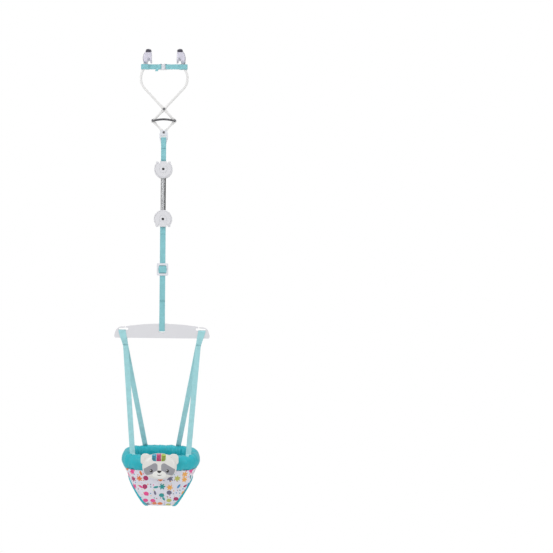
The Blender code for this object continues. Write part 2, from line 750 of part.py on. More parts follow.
def link(name, side, finish):
    """Lower link from the knee on the given side to the bracket's rivet."""
    layer = side * LINK_LAYER
    knee = Vector((KNEE_X, KNEE_Z))
    foot = Vector((0, BRACKET_PIVOT_Z))
    path = stations(knee, foot, (knee, foot), LINK_FLAT_REACH)
    shape = rod(path, (knee, foot), layer, LINK_ROD_RADIUS, LINK_FLAT_HALF_WIDTH,
                FLAT_HALF_THICKNESS - (EYE_HALF_THICKNESS - LINK_HALF_THICKNESS), LINK_FLAT_REACH)
    near = layer - LINK_HALF_THICKNESS
    far = layer + LINK_HALF_THICKNESS
    obj = add(name, sided(shape, side), finish, (side * KNEE_X, 0, KNEE_Z))
    steps = []
    for centre in (knee, foot):
        steps.append(("UNION", sided(prism(circle(*centre, LINK_EYE_RADIUS), near, far), side)))
    for centre, play in ((knee, GAP), (foot, RIVET_PLAY)):
        hole = prism(circle(*centre, RIVET_SHANK_RADIUS + play), near - GAP, far + GAP)
        steps.append(("DIFFERENCE", sided(hole, side)))
    boolean(obj, steps)
    return obj


def rivet(name, centre, front, back, shank, head, finish, pivot, stud=0):
    """Rivet along Y with a head outside each face, and a spring stud in front where asked."""
    front_head = front - GAP - RIVET_HEAD_HEIGHT
    profile = []
    if stud:
        profile += [(0, front_head - stud - RIVET_HEAD_HEIGHT), (head, front_head - stud - RIVET_HEAD_HEIGHT),
                    (head, front_head - stud), (shank, front_head - stud), (shank, front_head)]
    else:
        profile += [(0, front_head)]
    profile += [(head, front_head), (head, front - GAP), (shank, front - GAP), (shank, back + GAP),
                (head, back + GAP), (head, back + GAP + RIVET_HEAD_HEIGHT), (0, back + GAP + RIVET_HEAD_HEIGHT)]
    return add(name, turned(profile, centre), finish, pivot)


def boot(name, side, finish):
    """Soft boot over the jaw's plate, with a grip face, a recess and a claw."""
    shape = prism(rounded(BOOT_OUTLINE, step=FINE_STEP), -BOOT_HALF_DEPTH, BOOT_HALF_DEPTH)
    obj = add(name, sided(shape, side), finish, (0, 0, PIVOT_Z))
    bevel(obj, BOOT_EDGE)
    boolean(obj, (("DIFFERENCE", plate_room(side)),))
    return obj


def cap(name, side, finish):
    """Black cap on the boot, closed over the plate's top edge."""
    floor = BOOT_TOP_Z + GAP
    outline = rounded([
        (GRIP_X, floor, 0),
        (CAP_OUTER_X, floor, 0),
        (CAP_OUTER_X, CAP_TOP_Z, CAP_TOP_RADIUS),
        (GRIP_X, CAP_TOP_Z, CAP_TOP_RADIUS),
    ])
    obj = add(name, sided(prism(outline, -BOOT_HALF_DEPTH, BOOT_HALF_DEPTH), side), finish, (0, 0, PIVOT_Z))
    bevel(obj, BOOT_EDGE)
    boolean(obj, (("DIFFERENCE", plate_room(side)),))
    return obj


def clamp_spring_points():
    """Close coil between the knees, bowed up in the middle, with a hook round each stud."""
    half_length = CLAMP_PITCH * CLAMP_TURNS / 2
    layer = clamp_spring_layer()
    hook = RIVET_SHANK_RADIUS + STUD_CLEARANCE + CLAMP_WIRE_RADIUS
    coil = []
    for k in range(CLAMP_TURNS * CURL_POINTS + 1):
        share = 2 * k / (CLAMP_TURNS * CURL_POINTS) - 1
        turn = 2 * math.pi * k / CURL_POINTS
        axis_z = KNEE_Z + CLAMP_BOW * (1 - share ** 2)
        coil.append((share * half_length, layer + CLAMP_COIL_RADIUS * math.sin(turn),
                     axis_z + CLAMP_COIL_RADIUS * math.cos(turn)))
    hooks = {}
    for side in (-1, 1):
        hooks[side] = [(side * (KNEE_X + hook * math.sin(HOOK_STEP * k)), layer,
                        KNEE_Z + hook * math.cos(HOOK_STEP * k)) for k in range(8)]
    return hooks[-1][::-1] + coil + hooks[1], coil


def clamp_spring_layer():
    front = -(ARM_LAYER + EYE_HALF_THICKNESS) - GAP - RIVET_HEAD_HEIGHT
    return front - SPRING_STUD_LENGTH / 2


def bracket(name, finish):
    """White yoke: two ears for the rivet above, a slotted bar for the strap below."""
    upper = rounded(mirrored(raised(BRACKET_TOP, BRACKET_PIVOT_Z)))
    lower = rounded(mirrored(raised(BRACKET_LOWER, BRACKET_PIVOT_Z)))
    deep = BRACKET_HALF_DEPTH
    bar = BRACKET_BAR_HALF_DEPTH
    slot = BRACKET_SLOT_HALF_WIDTH
    foot = BRACKET_FOOT_Z
    top = BRACKET_PIVOT_Z + BRACKET_TOP[0][1]
    obj = add(name, prism(upper, -deep, deep), finish, (0, 0, BRACKET_PIVOT_Z))
    bevel(obj, BOOT_EDGE)
    boolean(obj, (
        ("UNION", prism(lower, -bar, bar)),
        ("DIFFERENCE", block((-KNEE_X, -BRACKET_EAR_INNER, BRACKET_EAR_FLOOR_Z),
                             (KNEE_X, BRACKET_EAR_INNER, top + deep))),
        ("DIFFERENCE", block((-slot, -2 * deep, BRACKET_SLOT_FLOOR_Z), (slot, 2 * deep, BRACKET_SLOT_TOP_Z))),
        ("DIFFERENCE", block((-slot, -2 * deep, foot), (slot, -bar, BRACKET_SLOT_TOP_Z - WEBBING))),
        ("DIFFERENCE", block((-slot, bar, foot), (slot, 2 * deep, BRACKET_SLOT_TOP_Z - WEBBING))),
        ("DIFFERENCE", prism(circle(0, BRACKET_PIVOT_Z, RIVET_SHANK_RADIUS + GAP), -2 * deep, 2 * deep)),
    ))
    return obj


def safety_strap(name, side, pin_x, finish):
    """Flat loop of webbing from the buckle's pin round the arm."""
    layer = side * ARM_LAYER
    pin_reach = BUCKLE_PIN_RADIUS + GAP + WEBBING / 2
    deep = SAFETY_LOOP_HALF_DEPTH
    near = abs(pin_x) - pin_reach if side * pin_x > 0 else -abs(pin_x) - pin_reach
    start = near + 4 * pin_reach
    outline = [
        (near, -pin_reach, pin_reach * 0.98),
        (start, -pin_reach, pin_reach),
        (start + 2 * pin_reach, -STRAP_CLOSED, pin_reach),
        (SAFETY_LOOP_INNER_X - deep, -STRAP_CLOSED, deep),
        (SAFETY_LOOP_INNER_X, layer - deep, deep / 2),
        (SAFETY_LOOP_OUTER_X, layer - deep, deep * 0.9),
        (SAFETY_LOOP_OUTER_X, layer + deep, deep * 0.9),
        (SAFETY_LOOP_INNER_X, layer + deep, deep / 2),
        (SAFETY_LOOP_INNER_X - deep, STRAP_CLOSED, deep),
        (start + 2 * pin_reach, STRAP_CLOSED, pin_reach),
        (start, pin_reach, pin_reach),
        (near, pin_reach, pin_reach * 0.98),
    ]
    shape = webbing(rounded(outline), SAFETY_BOTTOM_Z, SAFETY_TOP_Z, "Z", closed=True)
    return add(name, sided(shape, side), finish, (0, 0, PIVOT_Z))


def buckle_half(name, side, pin_x, inner_x, outer_x, finish, pivot):
    """Buckle body with a window and a pin for its strap at the outer end."""
    deep = BUCKLE_HALF_DEPTH
    low_x, high_x = sorted((inner_x, outer_x))
    obj = add(name, block((low_x, -deep, BUCKLE_BOTTOM_Z), (high_x, deep, BUCKLE_TOP_Z)), finish, pivot)
    bevel(obj, BOOT_EDGE)
    reach = BUCKLE_PIN_RADIUS + 2 * GAP + WEBBING
    window_low, window_high = sorted((pin_x - side * reach, pin_x + side * 2 * reach))
    pin_top = BUCKLE_TOP_Z - BUCKLE_WALL / 2
    pin_bottom = BUCKLE_BOTTOM_Z + BUCKLE_WALL / 2
    boolean(obj, (
        ("DIFFERENCE", block((window_low, -2 * deep, BUCKLE_BOTTOM_Z + BUCKLE_WALL),
                             (window_high, 2 * deep, BUCKLE_TOP_Z - BUCKLE_WALL))),
        ("UNION", prism(circle(pin_x, 0, BUCKLE_PIN_RADIUS), pin_bottom, pin_top, "Z")),
    ))
    return obj


def buckle(socket_finish, plug_finish, pivot):
    """Side of the safety buckle that stays, and the plug whose tongue slides into it."""
    middle = (BUCKLE_TOP_Z + BUCKLE_BOTTOM_Z) / 2
    socket = buckle_half("buckle_socket", -1, SOCKET_PIN_X, SOCKET_RIGHT_X, SOCKET_LEFT_X, socket_finish, pivot)
    deep = TONGUE_HALF_DEPTH
    tall = TONGUE_HALF_HEIGHT
    boolean(socket, (
        ("DIFFERENCE", block((TONGUE_END_X - GAP, -deep - GAP, middle - tall - GAP),
                             (PLUG_RIGHT_X, deep + GAP, middle + tall + GAP))),
        ("DIFFERENCE", prism(circle(TONGUE_END_X + TONGUE_ROOM, middle, PRESS_PAD_RADIUS),
                             -2 * BUCKLE_HALF_DEPTH, -BUCKLE_HALF_DEPTH + PRESS_PAD_DEPTH)),
    ))
    plug = buckle_half("buckle_plug", 1, PLUG_PIN_X, PLUG_LEFT_X, PLUG_RIGHT_X, plug_finish, pivot)
    boolean(plug, (
        ("UNION", block((TONGUE_END_X, -deep, middle - tall), (PLUG_LEFT_X + BUCKLE_WALL / 2, deep, middle + tall))),
        ("DIFFERENCE", block((TONGUE_END_X - GAP, -2 * deep, middle - tall / 3),
                             (PLUG_LEFT_X - BUCKLE_WALL, 2 * deep, middle + tall / 3))),
    ))
    return socket, plug


def upper_strap_path():
    top = BRACKET_SLOT_FLOOR_Z + GAP + WEBBING / 2
    pin = UPPER_HOUSING_Z + STRAP_PIN_RISE
    turn = STRAP_PIN_RADIUS + GAP + WEBBING / 2
    half = [
        (-STRAP_SPREAD, top, SHARP_BEND),
        (-STRAP_SPREAD, BRACKET_FOOT_Z, STRAP_BEND),
        (-STRAP_CLOSED, STRAP_STITCH_TOP_Z, STRAP_BEND),
        (-STRAP_CLOSED, STRAP_STITCH_BOTTOM_Z, STRAP_CORNER),
        (-turn, pin + turn, STRAP_PIN_RADIUS),
        (-turn, pin - turn, STRAP_PIN_TURN),
    ]
    return rounded(mirrored(half))


def housing_outline():
    """Round housing seen from the front, with the bridge and the two horns at the top."""
    half = [BRIDGE_TOP, BRIDGE_FOOT, HORN_DIP, HORN_INNER, HORN_TIP, HORN_OUTER]
    angle = RIM_START
    while angle >= RIM_END - RIM_STEP / 2:
        half.append((HOUSING_RADIUS * math.cos(angle), HOUSING_RADIUS * math.sin(angle), 0))
        angle -= RIM_STEP
    return rounded(mirrored(half))


def ring_groove(radius, width, depth, face):
    """Ring-shaped cutter round the middle of a face at y = face."""
    profile = [(radius - width / 2, face - depth), (radius + width / 2, face - depth),
               (radius + width / 2, face + depth), (radius - width / 2, face + depth),
               (radius - width / 2, face - depth)]
    return turned(profile, (0, 0), GROOVE_SIDES)


def side_pocket(side, parting):
    """Hollow between the rim and the middle, open at the parting face."""
    half_angle = math.asin(SIDE_POCKET_HALF_HEIGHT / SIDE_POCKET_RADIUS)
    outline = [(SIDE_POCKET_START, -SIDE_POCKET_HALF_HEIGHT)]
    for k in range(7):
        angle = half_angle * (k / 3 - 1)
        outline.append((SIDE_POCKET_RADIUS * math.cos(angle), SIDE_POCKET_RADIUS * math.sin(angle)))
    outline.append((SIDE_POCKET_START, SIDE_POCKET_HALF_HEIGHT))
    return sided(prism(outline, 0, parting * SIDE_POCKET_DEPTH), side)


def housing_shell(name, facing, finish):
    """Half of a spring housing; facing is -1 for the front half and 1 for the back half."""
    outline = housing_outline()
    rings = []
    for depth_share, size_share in HOUSING_FACE_SHARES:
        depth = HOUSING_PARTING + (HOUSING_HALF_DEPTH - HOUSING_PARTING) * depth_share
        rings.append([(a * size_share, facing * depth, b * size_share) for a, b in outline])
    obj = add(name, skin(rings), finish)
    face = facing * HOUSING_HALF_DEPTH
    far = HOUSING_HALF_DEPTH * 2
    pocket = STRAP_POCKET_HALF_DEPTH
    panel = rounded([
        (-FACE_PANEL_HALF_WIDTH, FACE_PANEL_TOP_Z, 0),
        (-FACE_PANEL_HALF_WIDTH, FACE_PANEL_BOTTOM_Z, FACE_PANEL_CORNER),
        (FACE_PANEL_HALF_WIDTH, FACE_PANEL_BOTTOM_Z, FACE_PANEL_CORNER),
        (FACE_PANEL_HALF_WIDTH, FACE_PANEL_TOP_Z, 0),
    ])
    room = HOOK_ROOM_HALF_WIDTH
    steps = [
        ("DIFFERENCE", prism(panel, face - facing * FACE_PANEL_DEPTH, face + facing * FACE_PANEL_DEPTH)),
        ("DIFFERENCE", block((-STRAP_POCKET_HALF_WIDTH, -pocket, STRAP_POCKET_FLOOR),
                             (STRAP_POCKET_HALF_WIDTH, pocket, HOUSING_RADIUS))),
        ("DIFFERENCE", prism(circle(0, STRAP_PIN_RISE, STRAP_PIN_RADIUS + GAP),
                             -STRAP_PIN_HALF_LENGTH - GAP, STRAP_PIN_HALF_LENGTH + GAP, "X")),
        ("DIFFERENCE", prism(circle(0, ANCHOR_DROP, ANCHOR_RADIUS + GAP),
                             -ANCHOR_HALF_LENGTH - GAP, ANCHOR_HALF_LENGTH + GAP)),
        ("DIFFERENCE", prism(circle(0, 0, COIL_ROOM_RADIUS, GROOVE_SIDES),
                             -2 * HOUSING_RADIUS, COIL_ROOM_TOP, "Z")),
        ("DIFFERENCE", block((-room, -HOOK_ROOM_HALF_DEPTH, COIL_ROOM_TOP - GAP),
                             (room, HOOK_ROOM_HALF_DEPTH, HOOK_ROOM_TOP))),
        ("DIFFERENCE", block((-CORD_ROOM_HALF_WIDTH, -GAP, COIL_ROOM_TOP - GAP),
                             (CORD_ROOM_HALF_WIDTH, CORD_ROOM_DEPTH, CORD_ROOM_TOP))),
        ("DIFFERENCE", side_pocket(-1, facing)),
        ("DIFFERENCE", side_pocket(1, facing)),
        ("DIFFERENCE", prism(circle(0, 0, HOUSING_SCREW_SHANK_RADIUS + GAP),
                             -far, HOUSING_SCREW_LENGTH - HOUSING_HALF_DEPTH + GAP)),
    ]
    if facing < 0:
        steps.append(("DIFFERENCE", ring_groove(FACE_RING_RADIUS, FACE_RING_WIDTH, FACE_RING_DEPTH, face)))
        steps.append(("DIFFERENCE", ring_groove(BOSS_RING_RADIUS, BOSS_RING_WIDTH, FACE_RING_DEPTH, face)))
        steps.append(("DIFFERENCE", prism(circle(0, 0, HOUSING_SCREW_HEAD_RADIUS + GAP), -far,
                                          face + HOUSING_SCREW_HEAD_DEPTH + GAP)))
    boolean(obj, steps)
    return obj


def copied(name, source, centre, turn):
    """Another object on the same mesh, turned about Y and moved to its centre."""
    obj = bpy.data.objects.new(name, source.data)
    bpy.context.collection.objects.link(obj)
    obj.location = centre
    obj.rotation_euler = (0, turn, 0)
    return obj


def screw(name, radius, head_depth, shank_radius, length, finish, sides=ROUND_SIDES):
    """Pan-head screw along +Y from y = 0, with a slot."""
    profile = [(0, 0), (radius, 0), (radius, head_depth), (shank_radius, head_depth),
               (shank_radius, length), (0, length)]
    obj = add(name, turned(profile, (0, 0), sides), finish)
    slot = block((-2 * radius, -head_depth, -SCREW_SLOT_WIDTH / 2),
                 (2 * radius, SCREW_SLOT_DEPTH, SCREW_SLOT_WIDTH / 2))
    boolean(obj, (("DIFFERENCE", slot),))
    return obj


def main_spring_points():
    """Close coil between the housings, with a half loop over each anchor pin."""
    middle = (UPPER_HOUSING_Z + LOWER_HOUSING_Z) / 2
    half_length = MAIN_PITCH * MAIN_TURNS / 2
    coil = []
    for k in range(MAIN_TURNS * CURL_POINTS + 1):
        turn = 2 * math.pi * k / CURL_POINTS
        share = 2 * k / (MAIN_TURNS * CURL_POINTS) - 1
        coil.append((MAIN_COIL_RADIUS * math.cos(turn), MAIN_COIL_RADIUS * math.sin(turn),
                     middle - share * half_length))
    hooks = {}
    for side, housing in ((1, UPPER_HOUSING_Z), (-1, LOWER_HOUSING_Z)):
        anchor = housing + side * ANCHOR_DROP
        arc_z = anchor + side * (ANCHOR_RADIUS + GAP + MAIN_WIRE_RADIUS - MAIN_COIL_RADIUS)
        hooks[side] = [(MAIN_COIL_RADIUS * math.cos(HOOK_STEP * k), 0,
                        arc_z + side * MAIN_COIL_RADIUS * math.sin(HOOK_STEP * k)) for k in range(7)]
    return hooks[1][::-1] + coil + hooks[-1], coil


def safety_cord_points():
    """Loop of cord down the inside of the coil, round both anchor pins."""
    top = UPPER_HOUSING_Z + ANCHOR_DROP
    bottom = LOWER_HOUSING_Z - ANCHOR_DROP
    half = [
        (-CORD_BEND, top + CORD_BEND, CORD_BEND * 0.98),
        (-CORD_BEND, top - CORD_BEND / 2, CORD_BEND),
        (-CORD_CLOSED, top - CORD_TAPER, CORD_BEND),
        (-CORD_CLOSED, bottom + CORD_TAPER, CORD_BEND),
        (-CORD_BEND, bottom + CORD_BEND / 2, CORD_BEND),
        (-CORD_BEND, bottom - CORD_BEND, CORD_BEND * 0.98),
    ]
    return [(a, CORD_LAYER, b) for a, b in rounded(mirrored(half))]


def adjuster_upper_path():
    """Single run: sewn round the lower housing's pin, behind the top bar, out over the centre bar."""
    pin = LOWER_HOUSING_Z - STRAP_PIN_RISE
    sewn = LOWER_HOUSING_Z - ADJUSTER_SEWN_DROP
    turn = STRAP_PIN_RADIUS + GAP + WEBBING / 2
    corners = [
        (-STRAP_CLOSED, sewn, 0),
        (-STRAP_CLOSED, pin - 2 * turn, STRAP_CORNER),
        (-turn, pin - turn, STRAP_PIN_RADIUS),
        (-turn, pin + turn, STRAP_PIN_TURN),
        (turn, pin + turn, STRAP_PIN_TURN),
        (turn, pin - turn, STRAP_PIN_RADIUS),
        (STRAP_CLOSED, pin - 2 * turn, STRAP_CORNER),
        (STRAP_CLOSED, sewn, STRAP_BEND),
        (BEHIND_FIRST, SLIDER_Z + SLIDER_HALF_HEIGHT, STRAP_BEND),
        (BEHIND_FIRST, SLIDER_Z + TOP_BAR_PASS_RISE, SHARP_BEND),
        (OVER_CENTRE_BAR, SLIDER_Z + FRONT_PASS_RISE, SHARP_BEND),
        (OVER_CENTRE_BAR, SLIDER_Z - FRONT_LEAVE_DROP, SHARP_BEND),
        (TUCK_LAYER, SLIDER_Z - TUCK_DROP, 0),
    ]
    return rounded(corners, closed=False)


def adjuster_lower_path():
    """Closed band round the slider's centre bar and the spreader's upper rail."""
    outside = SPREADER_HALF_DEPTH + GAP + WEBBING / 2
    over = SLIDER_Z + CENTRE_BAR_HALF_HEIGHT + GAP + WEBBING / 2
    under = STRAP_SLOT_TOP_Z - GAP - WEBBING / 2
    leave = SLIDER_Z - BAND_LEAVE_DROP
    clear = SLIDER_Z - BAND_CLEAR_DROP
    closed_top = SLIDER_Z - BAND_CLOSED_DROP
    closed_end = STRAP_SLOT_TOP_Z + BAND_CLOSED_RISE
    spread = STRAP_SLOT_TOP_Z + BAND_SPREAD_RISE
    corners = [
        (-ROUND_CENTRE_BAR, over, SHARP_BEND),
        (-ROUND_CENTRE_BAR, leave, SHARP_BEND),
        (BEHIND_FIRST, SLIDER_Z - BAND_PASS_DROP, SHARP_BEND),
        (BEHIND_FIRST, clear, STRAP_CORNER),
        (-STRAP_CLOSED, closed_top, STRAP_BEND),
        (-STRAP_CLOSED, closed_end, STRAP_BEND),
        (-outside, spread, STRAP_CORNER),
        (-outside, under, SHARP_BEND),
        (outside, under, SHARP_BEND),
        (outside, spread, STRAP_CORNER),
        (STRAP_CLOSED, closed_end, STRAP_BEND),
        (STRAP_CLOSED, closed_top, STRAP_BEND),
        (BEHIND_SECOND, clear, STRAP_CORNER),
        (BEHIND_SECOND, SLIDER_Z - BAND_BACK_PASS_DROP, SHARP_BEND),
        (ROUND_CENTRE_BAR, leave, SHARP_BEND),
        (ROUND_CENTRE_BAR, over, SHARP_BEND),
    ]
    return rounded(corners)


def slider(name, finish):
    """Three-bar slide: a rounded frame whose middle bar is thinner than the rest."""
    wide = SLIDER_HALF_WIDTH
    tall = SLIDER_HALF_HEIGHT
    deep = SLIDER_HALF_DEPTH
    corner = SLIDER_CORNER
    outline = rounded([(-wide, SLIDER_Z - tall, corner), (wide, SLIDER_Z - tall, corner),
                       (wide, SLIDER_Z + tall, corner), (-wide, SLIDER_Z + tall, corner)])
    obj = add(name, prism(outline, -deep, deep), finish, (0, 0, SLIDER_Z))
    bevel(obj, SLIDER_EDGE)
    opening = WINDOW_HALF_WIDTH
    steps = []
    for side in (-1, 1):
        low, high = sorted((SLIDER_Z + side * CENTRE_BAR_HALF_HEIGHT, SLIDER_Z + side * WINDOW_HALF_HEIGHT))
        steps.append(("DIFFERENCE", block((-opening, -2 * deep, low), (opening, 2 * deep, high))))
        near, far = sorted((side * CENTRE_BAR_HALF_DEPTH, 2 * side * deep))
        steps.append(("DIFFERENCE", block((-opening, near, SLIDER_Z - CENTRE_BAR_HALF_HEIGHT - GAP),
                                          (opening, far, SLIDER_Z + CENTRE_BAR_HALF_HEIGHT + GAP))))
    boolean(obj, steps)
    return obj


def arch(x):
    """Height of the spreader's arched top at x."""
    fall = SPREADER_TOP_RISE - SPREADER_BODY_RISE
    radius = (SPREADER_BODY_X ** 2 + fall ** 2) / (2 * fall)
    return SPREADER_TOP_Z - radius + math.sqrt(radius ** 2 - x ** 2)


def spreader(name, finish):
    """Arched bar with an open hook at each end, hollow from below, slotted for the centre strap."""
    half = []
    for k in range(SPREADER_ARCH_POINTS):
        x = SPREADER_BODY_X * (k + 0.5) / SPREADER_ARCH_POINTS
        half.append((x, arch(x), 0))
    half += raised([
        (SPREADER_BODY_X, SPREADER_BODY_RISE, HOOK_TIP_RADIUS),
        (SPREADER_BODY_X, HOOK_SLOT_ENTRY_RISE, HOOK_TIP_RADIUS),
        (HOOK_SLOT_INNER[0], HOOK_SLOT_ENTRY_RISE, HOOK_SLOT_INNER[2]),
        HOOK_SLOT_INNER,
        HOOK_SLOT_OUTER,
        HOOK_SLOT_TOP,
        (SPREADER_THROAT_X, HOOK_SLOT_ENTRY_RISE, HOOK_TIP_RADIUS),
        (SPREADER_THROAT_X, SPREADER_FINGER_RISE, HOOK_TIP_RADIUS),
        SPREADER_FINGER_BEND,
        SPREADER_TIP,
        SPREADER_HEEL,
    ], HOOK_Z)
    deep = SPREADER_HALF_DEPTH
    obj = add(name, prism(rounded(mirrored(half)), -deep, deep), finish, (0, 0, STRAP_SLOT_TOP_Z))
    bevel(obj, SPREADER_EDGE)
    slot = STRAP_SLOT_HALF_WIDTH
    steps = [("DIFFERENCE", block((-slot, -2 * deep, STRAP_SLOT_FLOOR_Z), (slot, 2 * deep, STRAP_SLOT_TOP_Z)))]
    room = deep - SPREADER_WALL
    pocket = [(SPREADER_POCKET_START, SPREADER_FLOOR_Z - SPREADER_WALL)]
    length = SPREADER_POCKET_END - SPREADER_POCKET_START
    for k in range(SPREADER_ARCH_POINTS):
        x = SPREADER_POCKET_START + length * k / (SPREADER_ARCH_POINTS - 1)
        pocket.append((x, arch(x) - SPREADER_WALL))
    pocket.append((SPREADER_POCKET_END, SPREADER_FLOOR_Z - SPREADER_WALL))
    for side in (-1, 1):
        steps.append(("DIFFERENCE", sided(prism(pocket, -room, room), side)))
    boolean(obj, steps)
    return obj


def plan_radius(angle, half_width, half_depth, power):
    """Distance from the middle to a rounded oval's edge in one direction."""
    across = abs(math.cos(angle) / half_width) ** power
    along = abs(math.sin(angle) / half_depth) ** power
    return (across + along) ** (-1 / power)


def ring_point(angle):
    """Place and outward direction on the seat ring's middle line."""
    radius = plan_radius(angle, RING_HALF_WIDTH, RING_HALF_DEPTH, RING_POWER)
    x = radius * math.cos(angle)
    y = radius * math.sin(angle)
    outward = Vector((
        math.copysign(abs(x / RING_HALF_WIDTH) ** (RING_POWER - 1) / RING_HALF_WIDTH, x),
        math.copysign(abs(y / RING_HALF_DEPTH) ** (RING_POWER - 1) / RING_HALF_DEPTH, y),
        0,
    )).normalized()
    return Vector((x, y, RING_Z)), outward


def seat_ring(name, finish, pivot):
    rings = []
    for k in range(RING_STEPS):
        centre, outward = ring_point(2 * math.pi * k / RING_STEPS)
        ring = []
        for j in range(RING_SIDES):
            angle = 2 * math.pi * j / RING_SIDES
            rise = Vector((0, 0, RING_SECTION_HALF_HEIGHT * math.sin(angle)))
            ring.append(centre + outward * RING_SECTION_HALF_WIDTH * math.cos(angle) + rise)
        rings.append(ring)
    return add(name, skin(rings, closed=True), finish, pivot)


def shell_size(share, inset):
    """Half width and half depth of the seat shell at a share of its height, and that height."""
    wide = (SHELL_HALF_WIDTH - inset - SHELL_WIDTH_TAPER * share) * (1 - share ** 5) ** (1 / 5)
    deep = (SHELL_HALF_DEPTH - inset - SHELL_DEPTH_TAPER * share) * (1 - share ** 3) ** (1 / 3)
    return wide, deep, SHELL_TOP_Z - share * (SHELL_HEIGHT - inset)


def shell_ring(share, inset):
    wide, deep, height = shell_size(share, inset)
    ring = []
    for k in range(SHELL_STEPS):
        angle = 2 * math.pi * k / SHELL_STEPS
        radius = plan_radius(angle, wide, deep, RING_POWER)
        ring.append((radius * math.cos(angle), radius * math.sin(angle), height))
    return ring


def leg_normal():
    """Direction out of a leg hole, for the right side."""
    run = Vector((LEG_BOTTOM_X - LEG_TOP_X, 0, LEG_BOTTOM_Z - LEG_TOP_Z)).normalized()
    return Vector((-run.z, 0, run.x)), run


def leg_loop(inset, back):
    """Points where the shell, inset by a depth, meets the leg plane moved back into the seat."""
    normal, run = leg_normal()
    origin = Vector((LEG_TOP_X, 0, LEG_TOP_Z)) - normal * back

    def half_depth(distance):
        place = origin + run * distance
        share = (SHELL_TOP_Z - place.z) / (SHELL_HEIGHT - inset)
        if share <= 0 or share >= 1:
            return None
        wide, deep, _ = shell_size(share, inset)
        if abs(place.x) >= wide:
            return None
        return deep * (1 - (abs(place.x) / wide) ** RING_POWER) ** (1 / RING_POWER)

    steps = 4000
    inside = [LEG_CUT_REACH * (k / steps - 0.5) for k in range(steps)]
    inside = [distance for distance in inside if half_depth(distance) is not None]
    first, last = inside[0], inside[-1]
    near, far = [], []
    for k in range(LEG_STEPS // 2 + 1):
        distance = (first + last) / 2 - (last - first) / 2 * math.cos(2 * math.pi * k / LEG_STEPS)
        place = origin + run * distance
        deep = half_depth(distance) or 0
        if k in (0, LEG_STEPS // 2):
            near.append(Vector((place.x, 0, place.z)))
            continue
        near.append(Vector((place.x, -deep, place.z)))
        far.append(Vector((place.x, deep, place.z)))
    return near + far[::-1]


def seat_shell(name, finish, pivot):
    """Fabric bucket, open at the top, with two leg holes and a notch for the toy's strap."""
    outer = [shell_ring(share, 0) for share in SHELL_LEVEL_SHARES]
    inner = [shell_ring(share, SHELL_WALL) for share in SHELL_LEVEL_SHARES]
    bottom = Vector((0, 0, SHELL_TOP_Z - SHELL_HEIGHT))
    rings = inner[::-1] + outer
    obj = add(name, skin(rings, pole_start=bottom + Vector((0, 0, SHELL_WALL)), pole_end=bottom), finish, pivot)
    normal, run = leg_normal()
    edge = Vector((LEG_TOP_X, 0, LEG_TOP_Z)) - normal * BINDING_WIDTH
    high = edge - run * LEG_CUT_REACH
    low = edge + run * LEG_CUT_REACH
    away = edge + normal * LEG_CUT_REACH
    outline = [(high.x, high.z), (low.x, low.z), (away.x, away.z)]
    notch = TOY_STRAP_HALF_WIDTH + WEBBING / 2
    steps = [("DIFFERENCE", sided(prism(outline, -LEG_CUT_REACH, LEG_CUT_REACH), side)) for side in (-1, 1)]
    steps.append(("DIFFERENCE", block((-notch, -LEG_CUT_REACH, SHELL_TOP_Z - 4 * SHELL_WALL / 3),
                                      (notch, 0, RING_Z))))
    boolean(obj, steps)
    return obj


def leg_binding(name, side, finish, pivot):
    """Flat padded band round a leg hole's edge."""
    normal, _ = leg_normal()
    loop = leg_loop(SHELL_WALL / 2, BINDING_WIDTH / 2)
    middle = sum(loop, Vector()) / len(loop)
    half_width = BINDING_WIDTH / 2 - GAP
    rings = []
    for index, point in enumerate(loop):
        run = (loop[(index + 1) % len(loop)] - loop[index - 1]).normalized()
        outward = run.cross(normal).normalized()
        if outward.dot(point - middle) < 0:
            outward = -outward
        ring = []
        for k in range(BINDING_SIDES):
            angle = 2 * math.pi * k / BINDING_SIDES
            ring.append(point + normal * half_width * math.cos(angle)
                        + outward * BINDING_HALF_THICKNESS * math.sin(angle))
        rings.append(ring)
    return add(name, sided(skin(rings, closed=True), side), finish, pivot)


def ring_depth_at(x):
    """Half depth of the ring's middle line at x."""
    return RING_HALF_DEPTH * (1 - (x / RING_HALF_WIDTH) ** RING_POWER) ** (1 / RING_POWER)


